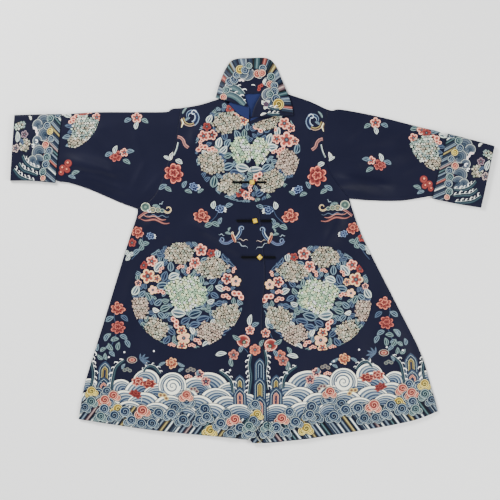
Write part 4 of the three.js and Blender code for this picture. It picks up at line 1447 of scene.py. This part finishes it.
# Small things between the waves: blossoms, fronds and charms that float on the water
both(peony(17, "#f7c48c", "#a6593f", "#662f29"), -222, -312)
both(stack(*[placed(leaf("blue", 24, 8), x, 4, turn=turn) for x, turn in ((-26, 30), (26, 150))]), -222, -318)
CHARM = [(1, "#aea79a"), (0.88, SHADE), (0.76, DEEP_CORAL), (0.52, "#c09780"), (0.36, CORAL)]
both(blob(ring(14, 16, 0.66), CHARM), -331, -302)
for turn in (-40, -5, 30, 65, 100):
    both(placed(leaf("dark", 24, 6), 11, 0), -304, -306, turn=turn)


def two_peonies():
    first = placed(peony(20, PINK, CORAL), -14, 3, squash=0.75)
    return stack(first, placed(peony(21, "#d78268", DEEP_CORAL), 15, -3, squash=0.62))


def flat_peony():
    return placed(peony(19, CORAL, DEEP_CORAL), 0, 0, squash=0.65)


def two_blossoms():
    return stack(placed(blossom(14, 5, PINK, PLUM), -9, 10), placed(blossom(14, 5, "#d08f7c", PLUM), 8, -9))


FLOATING = [  # motif, its sizes and colours, x, y, turn
    (two_peonies, (), -300, -366, 0), (flat_peony, (), -322, -396, -25),
    (bud, (24, "#70746d", "#3b4549"), -344, -330, 0), (bud, (26, "#797269", "#44454a"), -170, -330, 10),
    (bud, (20, PINK, CORAL), -176, -348, 0), (two_blossoms, (), -136, -352, 0),
    (bud, (26, "#998e7f", PLUM), -160, -384, -20), (bud, (30, "#c5ad6f", "#6b4836"), -244, -402, -25),
    (leaf, ("blue", 18, 8), -354, -320, 60), (leaf, ("blue", 18, 8), -196, -330, 30),
    (leaf, ("blue", 18, 8), -150, -338, 80),
]  # fmt: skip
for make, sizes, x, y, turn in FLOATING:
    both(make(*sizes), x, y, turn=turn)


# The sprays on the fronts: birds, butterflies, flowers and fruit scattered between the roundels
# in satin stitch, much the same on both sides.
def wavy(length, swing, width, colours, turns=1.5):
    t = np.linspace(0, 1, 16)
    path = np.column_stack([t * length, swing * np.sin(2 * math.pi * turns * t)])
    return ribbon(path, width * np.sin(math.pi * (0.12 + 0.8 * t)), colours)


def curl(radius, width, colours, turns=0.9):
    """A plume that curls over at its end."""
    t = np.linspace(0, 1, 18)
    angle = 2 * math.pi * turns * t
    reach = radius * (1.0 - 0.62 * t)
    path = np.column_stack([reach * np.cos(angle), reach * np.sin(angle)])
    return ribbon(path, width * (1 - 0.6 * t), colours)


def butterfly():
    """Two curling blue wings and a pair of tails on either side of a coral body."""
    return stack(
        placed(wavy(34, 2.6, 2.4, ("#b2bcbc", "#53637b")), 8, -12, turn=-28),
        placed(wavy(26, 2.2, 2.0, ("#cbc4b0", "#83605b")), 12, -4, turn=-6),
        ribbon(even_path([(-4, -6), (-18, -14), (-32, -12), (-38, -4)]), 8,
               ("#66728e", "#283757", "#62708c", "#393655")),
        placed(curl(8, 4, ("#7e8fa8", "#31415b"), 0.8), -34, -4, turn=-60),
        ribbon(even_path([(4, -2), (12, 6), (18, 18), (16, 28)]), 8,
               ("#c3d2d4", "#2c3c5a", "#04173a", "#60738e")),
        placed(curl(9, 4.5, ("#95a6ba", "#3e4f6b"), 0.85), 22, 26, turn=40, mirror=True),
        placed(leaf("teal", 18, 8), -16, 12, turn=-15),
        placed(wavy(16, 2, 1.8, ("#95a7b0",)), -26, 8, turn=170),
        ribbon([(-6, 16), (-3, 6), (1, -4), (4, -12)], [3, 8, 9, 4], (PEACH, CORAL, "#542327", "#b37d64")),
        placed(blob(ring(3.4, 8), [(1, CREAM), (0.5, DEEP_RED)]), -4, 14),
        placed(leaf("teal", 12, 6), -12, 24, turn=60),
    )


def flutterer():
    """The larger winged creature under each arm, trailing ribbons behind it."""
    return stack(
        placed(wavy(82, 3.4, 7.0, ("#562d2e", "#b07162", "#854b46", "#562d2e")), 40, -30, turn=171),
        placed(wavy(64, 3.0, 5.0, ("#b97b6c", "#613736")), 30, -20, turn=168),
        placed(wavy(60, 2.6, 2.4, ("#71818f", "#2a3650"), 2.5), 38, -12, turn=176),
        ribbon(even_path([(-46, -16), (-34, -6), (-20, 2), (-8, 6)]), 6, ("#925b58", "#4b2427", "#b88173")),
        placed(blob(ring(13, 14, 0.95), [(1, "#d1d6ba"), (0.88, "#596e63"), (0.62, "#3e524e"),
                                         (0.3, "#6f8475")]), -26, 14),
        placed(blob(ring(9, 12, 0.9), [(1, "#cebe97"), (0.8, "#485956"), (0.45, "#8b7d60")]), -6, 6),
        placed(blob(ring(8, 12, 0.85), [(1, "#b0baa0"), (0.78, "#584942"), (0.45, "#6e8772")]), 8, 6),
        placed(blob(ring(6.5, 10, 0.85), [(1, "#94a493"), (0.7, "#3c4e50")]), 20, 4),
        placed(leaf("teal", 24, 9), 4, 15, turn=-14),
        placed(curl(6, 2.6, (WHITE,), 0.6), -14, 4, turn=150),
        placed(curl(11, 5.0, ("#f7d38c", "#6c4f2f", CREAM)), 36, 8, turn=205),
        placed(wavy(14, 2, 1.8, ("#95a7b0",)), 12, 20, turn=35),
    )


def bird():
    """A bird seen from the side, its tail curled over its back."""
    return stack(
        placed(curl(21, 15, ("#b2c5d4", "#3d4f6a", "#07193b", "#03031e", "#2c3c5a", "#7d93a7"), 0.72),
               2, 4, turn=-70),
        placed(curl(9, 4, ("#f1f7f7", "#495b78"), 0.9), 10, 14, turn=10),
        ribbon(even_path([(-20, 0), (-14, -14), (0, -20), (12, -16)]), 8,
               ("#a59561", "#4c4529", "#543236", "#b3987c")),
        placed(leaf("teal", 24, 6), -14, 20, turn=55),
        placed(leaf("blue", 16, 7), -6, -4, turn=30),
        ribbon([(-24, -4), (-20, -14), (-24, -26)], [5, 7, 3], ("#f7f2be", "#735f49")),
    )


def trefoil(kind="pale", size=1.0):
    return stack(*[placed(leaf(kind, 19 * size, 13 * size), 9 * size * math.cos(a), 9 * size * math.sin(a),
                          turn=math.degrees(a)) for a in (0.3, 2.0, 4.1)])  # fmt: skip


def blue_flower():
    bloom = placed(peony(15, "#8da5ca", "#2e3d5d", "#030930"), 0, 0, squash=0.8, turn=-12)
    tips = [
        placed(leaf("white", 9, 6), 14 * math.cos(a), 9 * math.sin(a) - 2, turn=math.degrees(a))
        for a in (-0.5, 0.0, 0.5)
    ]
    return stack(*tips, bloom)


def stem(points, width=1.8, colour="#384860"):
    return ribbon(even_path(np.array(points, float), 5), width, (colour,))


def fruit():
    skin = [(1, DEEP_RED), (0.93, PINK), (0.8, CORAL), (0.55, DEEP_CORAL)]
    tip = petal(8, 1.0, [(1, DEEP_RED), (0.86, PINK), (0.6, CORAL)])
    return stack(
        blob(ring(19, 16, 0.92), skin, centre=(-3, 3)),
        *[placed(tip, 5, -6, turn=turn) for turn in (-80, -20, 40)],
        placed(blob(ring(6, 10), [(1, "#1c2621"), (0.6, "#70806e")]), 2, -3),
    )


def pair(work, right, left, **settings):
    """A motif at its place on the wearer's right, and its mirror image at its place on the left."""
    sew(tinted(placed(work, *right, **settings), 0.06))
    settings["mirror"], settings["turn"] = not settings.get("mirror", False), -settings.get("turn", 0)
    sew(tinted(placed(work, *left, **settings), 0.06))


def sew_pairs(rows):
    """Rows: motif, its sizes and colours, x and y on the wearer's right and then on the left,
    and where it needs them its turn, its squash and its size."""
    for make, sizes, x, y, left_x, left_y, *more in rows:
        pair(make(*sizes), (x, y), (left_x, left_y), **dict(zip(("turn", "squash", "size"), more)))


SCROLL = even_path([(-16, 14), (-8, 12), (0, 4), (4, -8), (14, -16)])
TENDRIL = even_path([(10, 44), (6, 26), (-2, 8)])
sew_pairs([
    (bird, (), -172, 363, 172, 352),
    (ribbon, (SCROLL, 8, ("#ae7a71", "#62403f", "#986861")), -190, 297, 177, 291),
    (ribbon, (TENDRIL, 4, ("#606f74", "#c9d5c9")), -214, 252, 198, 246),
    (leaf, ("white", 24, 10), -222, 258, 212, 258, 75), (leaf, ("pale", 20, 9), -236, 252, 218, 250, -35),
    (leaf, ("pale", 22, 13), -202, 242, 188, 234, -30), (leaf, ("blue", 26, 13), -246, 173, 208, 170, 30),
    (leaf, ("teal", 22, 12), -232, 166, 196, 160, -30), (leaf, ("blue", 22, 12), -186, 180, 152, 178, 60),
    (blue_flower, (), -161, 173, 125, 165), (leaf, ("teal", 22, 11), -176, 160, 140, 152, -20),
    (leaf, ("teal", 20, 10), -142, 162, 108, 156, 30),
    (peony, (30, "#e0816a", "#893d37", "#56171b"), -216, 206, 177, 199),
    (flutterer, (), -268, 104, 228, 110),
    (peony, (25, "#e38c70", "#8b423a", "#531c1b"), -139, 91, 103, 91, 0, 0.82),
    (stem, ([(-30, -26), (-6, -4), (8, 22), (34, 26)],), -95, 96, 60, 96),
    (blue_flower, (), -89, 112, 44, 108), (leaf, ("pale", 22, 14), -106, 124, 62, 122, 80),
    (leaf, ("blue", 22, 12), -64, 122, 20, 118, 20), (leaf, ("teal", 24, 14), -120, 68, 84, 62, 20),
    (leaf, ("teal", 24, 13), -102, 70, 64, 66, -30), (leaf, ("blue", 20, 11), -88, 80, 56, 78, 70),
    (butterfly, (), -51, 33, 48, 30),
])  # fmt: skip

# Sprays down the side seams
sew_pairs([
    (stem, ([(-10, 26), (4, 4), (-6, -30), (-26, -56)],), -306, 30, 296, 30),
    (peony, (18, "#e38c70", "#8b423a"), -315, 47, 275, 58), (blue_flower, (), -280, 38, 250, 44, 0, 1, 0.85),
    (trefoil, ("teal",), -301, 14, 282, 20), (blossom, (13, 5, CORAL, DEEP_CORAL), -331, 20, 301, 34),
    (trefoil, ("pale", 0.9), -339, -15, 316, 2), (leaf, ("blue", 26, 13), -318, -6, 300, 8, 40),
    (stem, ([(8, 40), (-4, 8), (4, -30), (-12, -74)],), -376, -190, 374, -176),
    (peony, (22, "#e38c70", "#8b423a"), -370, -162, 362, -148, 0, 0.85),
    (peony, (22, "#c26a5c", "#783531"), -369, -214, 368, -201, 0, 0.85),
    (leaf, ("blue", 26, 14), -392, -190, 388, -176, 30),
    (leaf, ("dark", 26, 13), -352, -188, 346, -178, -40),
    (leaf, ("teal", 26, 13), -398, -238, 396, -226, 40),
])  # fmt: skip

FROND = [  # x and y from its middle, kind, turn
    (0, 0, "teal", 10), (24, 6, "blue", -30), (-22, 6, "blue", 60),
    (10, -18, "teal", 80), (-12, -20, "teal", 120), (34, -12, "blue", -60),
]  # fmt: skip
for dx, dy, kind, turn in FROND:
    pair(leaf(kind, 24, 13), (-378 + dx, -246 + dy), (376 - dx, -234 + dy), turn=turn)
    pair(leaf(kind, 20, 11), (-410 + dx * 0.7, -274 + dy), (404 - dx * 0.7, -258 + dy), turn=turn + 20)

# Fruiting branches at the foot of the front opening
sew_pairs([
    (stem, ([(2, 26), (-6, 6), (-20, -30), (-4, -56)],), -8, -226, 38, -226),
    (leaf, ("pale", 32, 13), -6, -192, 40, -200, 80), (leaf, ("blue", 24, 12), 8, -206, 48, -210, 30),
    (blossom, (14, 5, PINK, CORAL), -7, -220, 36, -228), (fruit, (), -25, -250, 50, -261),
    (leaf, ("teal", 26, 12), -44, -240, 70, -252, 150),
    (blossom, (17, 6, "#cb795d", "#9b5042"), 7, -274, 76, -290),
    (blossom, (16, 5, "#bc7763", "#77413d"), -52, -288, 84, -304),
    (leaf, ("pale", 32, 13), -86, -286, 110, -292, 10),
    (leaf, ("teal", 26, 12), -58, -308, 96, -318, 100), (leaf, ("blue", 22, 11), -30, -272, 62, -284, 60),
    (leaf, ("teal", 22, 11), 26, -256, 100, -276, 60),
])  # fmt: skip

# Seed-like white knots
KNOTS = [  # in pixels of the photograph
    (124.5, 352), (154, 351), (109, 357), (230, 370), (333.8, 361),
    (330.6, 364), (287, 373), (358.9, 349.5), (386.6, 347), (402.6, 350),
]  # fmt: skip
PHOTO_PITCH, PHOTO_MIDDLE = 2.75, (252.5, 250)  # a pixel of it, and the pixel at the origin
for px, py in KNOTS:
    x, y = (px - PHOTO_MIDDLE[0]) * PHOTO_PITCH, (PHOTO_MIDDLE[1] - py) * PHOTO_PITCH
    sew(placed(blob(ring(2.6, 8), [(1, WHITE)]), x, y))


# The sleeves' flowers: a spray over the middle of each, and near the cuff a part of one more
# roundel, which the cuff and the top fold cut off.
sew_pairs([
    (stem, ([(-26, -8), (0, 2), (24, 14)],), -366, 262, 342, 240),
    (peony, (17, "#c26a5c", "#823935"), -376, 256, 350, 232),
    (blossom, (13, 5, PINK, CORAL), -352, 268, 326, 246),
    (leaf, ("blue", 24, 12), -394, 262, 370, 240, 20), (leaf, ("teal", 24, 12), -346, 242, 322, 220, -30),
    (leaf, ("pale", 24, 12), -376, 276, 352, 254, 70), (leaf, ("blue", 24, 12), -336, 270, 312, 248, 10),
    (blossom, (16, 5, PINK, CORAL), -318, 364, 338, 350),
    (leaf, ("blue", 22, 12), -342, 356, 362, 342, 20), (leaf, ("teal", 22, 12), -296, 354, 316, 340, -30),
    (leaf, ("pale", 22, 12), -318, 342, 338, 328, 70),
])  # fmt: skip
SLEEVE_ROUNDELS = {"right": (-524, 379, 105), "left": (538, 322, 111)}
SLEEVE_BITS = [  # motif, its sizes and colours, x and y from the middle of the left one
    (flower_head, ("grey", 80, 72), -66, -44), (flower_head, ("cream", 52, 40), -40, -84),
    (blossom, (16, 5, PINK, CORAL), -72, 8), (blossom, (14, 5, CORAL, DEEP_CORAL), -60, 0),
    (bud, (34,), -42, -16), (bud, (26,), -32, -27), (leaf, ("blue", 30, 14), -36, 3),
    (leaf, ("dark", 26, 13), -28, -55), (leaf, ("dark", 24, 12), -20, -40),
    (leaf, ("pale", 26, 17), -14, -8), (blossom, (14, 5, PINK, CORAL), -96, -14),
    (leaf, ("teal", 26, 13), -92, 10), (leaf, ("blue", 26, 13), -14, -70),
    (leaf, ("teal", 24, 12), -100, -38), (leaf, ("blue", 24, 12), -22, -92),
]  # fmt: skip
bits = sorted([(make(*sizes), dx, dy) for make, sizes, dx, dy in SLEEVE_BITS], key=lambda bit: len(bit[0]))
for side, (x, y, radius) in SLEEVE_ROUNDELS.items():
    way = 1 if side == "left" else -1
    for work, dx, dy in bits:
        work = placed(work, x + way * dx, y + dy, mirror=way < 0, turn=dice.uniform(-20, 20))
        sew(work, inside_ring(x, y, radius, radius))
ROSETTE = [(1, DEEP_RED), (0.9, "#873934"), (0.5, "#6a2526"), (0.25, "#f09878")]
for dx, dy, radius in ((2, 14, 11), (-13, 1, 10), (-1, -4, 9), (-17, -12, 8)):
    disc = blob(ring(radius, 14), ROSETTE, centre=(-2, 3))
    pair(disc, (-508 + dx, 224 + dy), (472 - dx, 180 + dy))
sew_pairs([
    (leaf, ("teal", 24, 11), -486, 212, 452, 172, 20), (leaf, ("blue", 22, 10), -496, 200, 462, 158, -20),
])  # fmt: skip


# The cuffs' embroidery: stripes of water along the sleeve, and over them clouds, waves and foam.
# It is drawn for the wearer's left and fitted to the right cuff's corners.
LEFT_CORNERS = np.array([(494, 141), (537, 320), (628, 116)], float)
RIGHT_CORNERS = np.array([(-542, 184), (-524, 374), (-666, 190)], float)


def sew_cuff(work):
    """Adds a motif to both cuffs, in millimetres of the left one."""
    share = (work["xy"] - LEFT_CORNERS[0]) @ np.linalg.inv(LEFT_CORNERS[1:] - LEFT_CORNERS[0])
    fitted = work.copy()
    fitted["xy"] = share @ (RIGHT_CORNERS[1:] - RIGHT_CORNERS[0]) + RIGHT_CORNERS[0]
    sew([work, fitted], cloth="cuffs")


def curled(kind, radius):
    """One curl of a cloud on its own outline of bare ground."""
    motif = cloud_lobe(kind, radius, dice.uniform(0, 6))
    return stack(blob(ring(radius + HALO, 16), [(1, SHADE)]), motif)


CUFF_STRIPES = (
    "deep", "steel", "deep", "pale", "deep", "coral", "deep", "steel", "teal", "mauve",
    "deep", "steel", "deep", "gold", "steel", "deep", "teal", "pale", "deep", "steel",
)  # fmt: skip
CUFF_STRIPE_WIDTH = 9.4
for k, kind in enumerate(CUFF_STRIPES):
    start = LEFT_CORNERS[0] + (LEFT_CORNERS[1] - LEFT_CORNERS[0]) * (k - 1) / 18 + (-3, 0)
    lean = math.radians(22 + 0.5 * k)
    path = [start + np.array([math.cos(lean), math.sin(lean)]) * reach for reach in (0, 20, 40, 58)]
    sew_cuff(ribbon(path, CUFF_STRIPE_WIDTH, WATER[kind]))
CUFF_SWELLS = [  # x, y, radius, turn
    (594, 292, 23, -60), (606, 280, 16, -75), (580, 262, 20, -75), (592, 240, 15, -80),
    (580, 212, 21, -70), (574, 190, 19, -75), (588, 186, 15, -80),
]  # fmt: skip
for x, y, radius, turn in CUFF_SWELLS:
    sew_cuff(placed(shell_lobe(radius), x - radius * 0.5, y - radius * 0.25, turn=turn))
CUFF_FOAM = [
    ((552, 166), (575, 164), (598, 172), (614, 188)),
    ((552, 148), (575, 150), (600, 152), (618, 166)),
    ((556, 130), (582, 130), (606, 134), (628, 148)),
]
for points in CUFF_FOAM:
    sew_cuff(foam(points, 9, -1, size=7.5))
CUFF_CURLS = [  # kind, x, y, radius
    ("teal", 566, 300, 9), ("blue", 569, 280, 9), ("yellow", 555, 268, 8), ("blue", 545, 250, 8),
    ("coral", 556, 231, 8.5), ("blue", 540, 218, 9), ("teal", 541, 200, 9.5), ("blue", 538, 182, 9.5),
    ("teal", 540, 160, 9), ("coral", 534, 145, 6.5), ("blue", 548, 316, 8),
]  # fmt: skip
for kind, x, y, radius in CUFF_CURLS:
    sew_cuff(placed(curled(kind, radius * 1.15), x, y))
CUFF_BLOOMS = [  # motif, its sizes and colours, x, y, turn
    (flower_head, ("cream", 30, 38), 616, 216, 0), (flower_head, ("grey", 34, 26), 648, 262, -30),
    (leaf, ("pale", 30, 14), 646, 232, 70), (blossom, (12, 5, "#8d7b83", "#4b2d3c"), 627, 243, 0),
    (blossom, (13, 5, "#baa89d", "#58444d"), 640, 202, 0), (leaf, ("dark", 22, 10), 630, 222, 40),
    (leaf, ("white", 14, 7), 626, 288, 40), (bud, (16, WHITE, PINK), 600, 264, 30),
    (bud, (14, WHITE, PINK), 592, 254, 60), (spiral, (6, 4, 0.8, (WHITE,)), 586, 232, 40),
    (spiral, (6, 4, 0.8, (WHITE,)), 592, 218, 40),
]  # fmt: skip
for make, sizes, x, y, turn in CUFF_BLOOMS:
    sew_cuff(placed(make(*sizes), x, y, turn=turn))


# The collar's embroidery: as on the cuffs, stripes all along the outer edge and clouds and waves
# inside them. The navy satin is left bare next to the neck.
EDGE_POINTS = 46
steps = np.linspace(0, 1, EDGE_POINTS + 1)
OUTER_EDGE = centripetal([(r[2], r[3], 0) for r in COLLAR], steps)[:, :2]
INNER_EDGE = centripetal([(r[0], r[1], 0) for r in COLLAR], steps)[:, :2]
NECK_MIDDLE = np.array([8, 415])
COLLAR_STRIPES = (
    "teal", "steel", "deep", "coral", "deep", "teal", "gold", "deep", "steel",
    "deep", "teal", "coral", "deep", "teal", "gold", "steel", "deep", "mauve",
)  # fmt: skip
for k in range(0, EDGE_POINTS, 2):
    outer = OUTER_EDGE[k] * 1.02 - (0, 7)
    towards = (INNER_EDGE[k] * 0.5 + NECK_MIDDLE * 0.5) - outer
    towards /= np.hypot(*towards)
    wide = np.hypot(*(OUTER_EDGE[min(k + 2, EDGE_POINTS)] - OUTER_EDGE[k])) * 1.1
    path = [outer - towards * 6, outer + towards * 14, outer + towards * 34]
    sew(ribbon(path, wide, WATER[COLLAR_STRIPES[k // 2 % len(COLLAR_STRIPES)]]), cloth="collar")
COLLAR_SWELLS = [
    (-14, 484, 20, 165), (-26, 484, 16, 180), (18, 482, 13, 165),
    (43, 426, 19, 110), (52, 404, 20, 100), (40, 462, 13, 130),
]  # fmt: skip
for x, y, radius, turn in COLLAR_SWELLS:
    sew(placed(shell_lobe(radius), x, y, turn=turn), cloth="collar")
COLLAR_FOAM = [
    ((-76, 442), (-54, 446), (-38, 438), (-26, 426)),
    ((-84, 426), (-60, 426), (-40, 416), (-22, 398)),
]
for points in COLLAR_FOAM:
    sew(foam(points, 17, -1, ("#263b45", "#42565b", "#5a7172", "#395257"), 8.0), cloth="collar")
COLLAR_CURLS = [
    ("blue", -62, 462, 12), ("blue", -50, 468, 12), ("teal", -72, 440, 10), ("blue", -44, 481, 10),
    ("yellow", -34, 496, 12), ("blue", -20, 494, 11), ("teal", -10, 506, 9), ("blue", 28, 499, 10),
    ("teal", 51, 476, 11), ("coral", 14, 484, 11), ("coral", 26, 486, 10), ("coral", 48, 455, 10),
    ("blue", 60, 452, 10), ("blue", 60, 436, 11), ("teal", 48, 428, 10), ("blue", 64, 415, 12),
    ("yellow", 71, 400, 15), ("coral", -80, 420, 9),
]  # fmt: skip
for kind, x, y, radius in COLLAR_CURLS:
    sew(placed(curled(kind, radius), x, y), cloth="collar")
COLLAR_BLOOMS = [
    (foam, ([(0, 0), (14, -6), (30, -6)], 8, -1, FOAM_TONES, 7.0), 44, 392, 0),
    (trefoil, ("white", 0.8), 36, 400, 20), (blossom, (8, 5, "#5a4355", "#40273d"), 37, 400, 0),
    (bud, (22, CORAL, "#6d1c1d"), 21, 447, 60),
    (foam, ([(0, 0), (16, -3), (34, -2)], 8, -1, FOAM_TONES, 6.5), 40, 374, 0),
    (leaf, ("white", 18, 6), 30, 372, 20), (leaf, ("pale", 12, 3), 2, 452, -10),
    (leaf, ("white", 16, 8), 34, 462, 60), (bud, (14, WHITE, PINK), -30, 466, 0),
]  # fmt: skip
for make, sizes, x, y, turn in COLLAR_BLOOMS:
    sew(placed(make(*sizes), x, y, turn=turn), cloth="collar")


# Laying the motifs on the cloth: each panel takes what falls inside its outline, cut a little
# inside its edge, split so finely that it follows the folds, and set on the cloth's own height.
CLEAR = 0.32  # between the cloth and the lowest thread
INSET = 0.5  # from the panel's edge
MAP_PITCH = 4
SLIVER = 0.02  # areas smaller than this are left out
ABOVE = 200  # higher than any cloth


def depth_map(line, inset):
    """Distance inwards from a closed outline, sampled on a grid and read between its points."""
    low = line.min(0) - 2 * MAP_PITCH
    count = np.ceil((line.max(0) + 2 * MAP_PITCH - low) / MAP_PITCH).astype(int) + 1
    axes = [low[k] + MAP_PITCH * np.arange(count[k]) for k in (0, 1)]
    grid = np.stack(np.meshgrid(*axes, indexing="ij"), axis=-1).reshape(-1, 2)
    closed = np.concatenate([line, line[:1]])
    crossings = np.zeros(len(grid), int)
    for a, b in zip(closed[:-1], closed[1:]):
        spans = (a[1] > grid[:, 1]) != (b[1] > grid[:, 1])
        if spans.any():
            x = a[0] + (grid[spans, 1] - a[1]) * (b[0] - a[0]) / (b[1] - a[1])
            crossings[np.flatnonzero(spans)[grid[spans, 0] < x]] += 1
    distance = away_from(grid, closed)
    value = np.where(crossings % 2, distance, -distance).reshape(count) - inset

    def depth(p):
        outside = ((p < low) | (p > low + MAP_PITCH * (count - 1))).any(1)
        return np.where(outside, -1.0, sampled(value, (p - low) / MAP_PITCH))

    return depth


def lay(panel, motifs, extra=None, ending="embroidery"):
    """Sews the motifs to the panel as one mesh of thread."""
    outline = PANELS[panel].get("shown", PANELS[panel]["cut"])
    low, high = outline.min(0), outline.max(0)
    near = [m for m in motifs if (m["xy"].max((0, 1)) > low).all() and (m["xy"].min((0, 1)) < high).all()]
    work = cut(np.concatenate(near), depth_map(outline, INSET))
    if extra is not None:
        work = cut(work, extra)
    a, b, c = (work["xy"][:, k] for k in range(3))
    spread = (b[:, 0] - a[:, 0]) * (c[:, 1] - a[:, 1]) - (b[:, 1] - a[:, 1]) * (c[:, 0] - a[:, 0])
    work, spread = work[np.abs(spread) > SLIVER], spread[np.abs(spread) > SLIVER]
    work["xy"][spread < 0] = work["xy"][spread < 0][:, ::-1]
    work = work[np.argsort(work["level"], kind="stable")]
    corners = np.column_stack([work["xy"].reshape(-1, 2), np.repeat(work["level"], 3)])
    places, index = np.unique(np.round(corners, 3), axis=0, return_inverse=True)
    tree, down = PANELS[panel]["tree"], Vector((0, 0, -1))
    heights = np.empty(len(places))
    for k, (x, y, level) in enumerate(places):
        hit = tree.ray_cast(Vector((x, y, ABOVE)), down)[0]
        heights[k] = hit.z if hit else np.nan
    missing = np.isnan(heights)
    heights[missing] = np.interp(np.flatnonzero(missing), np.flatnonzero(~missing), heights[~missing])
    points = np.column_stack([places[:, :2], heights + CLEAR + places[:, 2]])
    faces = index.reshape(-1, 3)
    made = new_mesh(f"{panel}_{ending}", points, faces, THREAD)
    data = made.data
    colours = np.repeat(np.column_stack([work["rgb"], np.ones(len(work))]), 3, axis=0)
    data.color_attributes.new("thread", "FLOAT_COLOR", "CORNER").data.foreach_set("color", colours.ravel())
    lie = np.repeat(work["grain"], 3)
    xy = work["xy"].reshape(-1, 2)
    along = np.column_stack([
        xy[:, 0] * np.cos(lie) + xy[:, 1] * np.sin(lie), -xy[:, 0] * np.sin(lie) + xy[:, 1] * np.cos(lie)
    ])
    data.uv_layers.new(name="stitches").data.foreach_set("uv", along[:, ::-1].ravel())
    span = max(high - low)
    data.uv_layers.new(name="OFBake").data.foreach_set("uv", ((xy - low) / span).ravel())
    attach(made, "root")
    return made


# Each of these gets the embroidery that it carries, and the size it was cut to is measured
for panel in ("front_right", "front_left"):
    lay(panel, MOTIFS["body"])
    lay(panel, MOTIFS["hem"], ending="hem_border")
for side in ("right", "left"):
    lay(
        f"sleeve_{side}", MOTIFS["body"], lambda p, side=side: 2 - inside_cuff(side, p)
    )
    lay(f"cuff_{side}", MOTIFS["cuffs"])
lay("collar", MOTIFS["collar"])

for panel in ("front_right", "front_left"):
    declare_cloth(panel)
for side in ("right", "left"):
    declare_cloth(f"sleeve_{side}")
    declare_cloth(f"cuff_{side}")
declare_cloth("collar")


# The stage: a pale plain floor just under the cloth and soft light from large panels.
FLOOR_DROP = 0.6
floor_data = bpy.data.meshes.new("floor")
reach = 6.0
floor_data.from_pydata(
    [(-reach, -reach, -FLOOR_DROP * MM), (reach, -reach, -FLOOR_DROP * MM),
     (reach, reach, -FLOOR_DROP * MM), (-reach, reach, -FLOOR_DROP * MM)],
    [], [(0, 1, 2, 3)],
)  # fmt: skip
PAPER = material("pale_paper", Base_Color=(*linear("#fcfcfa"), 1), Roughness=0.9)
floor_data.materials.append(PAPER)
floor = bpy.data.objects.new("floor", floor_data)
bpy.context.scene.collection.objects.link(floor)


def soft_light(name, place, size, watts):
    data = bpy.data.lights.new(name, "AREA")
    data.shape = "DISK"
    data.size = size
    data.energy = watts
    lamp = bpy.data.objects.new(name, data)
    lamp.location = place
    lamp.rotation_euler = (Vector((0, 0, 0)) - Vector(place)).to_track_quat("-Z", "Y").to_euler()
    bpy.context.scene.collection.objects.link(lamp)
    return lamp


soft_light("key", (-2.0, 2.2, 2.0), 1.4, 210)
soft_light("fill", (2.6, -0.6, 2.2), 2.0, 120)
soft_light("low", (-0.4, -2.9, 2.2), 2.0, 92)
world = bpy.data.worlds.new("studio")
world.use_nodes = True
world.node_tree.nodes["Background"].inputs["Color"].default_value = (0.85, 0.87, 0.9, 1)
world.node_tree.nodes["Background"].inputs["Strength"].default_value = 0.3
bpy.context.scene.world = world
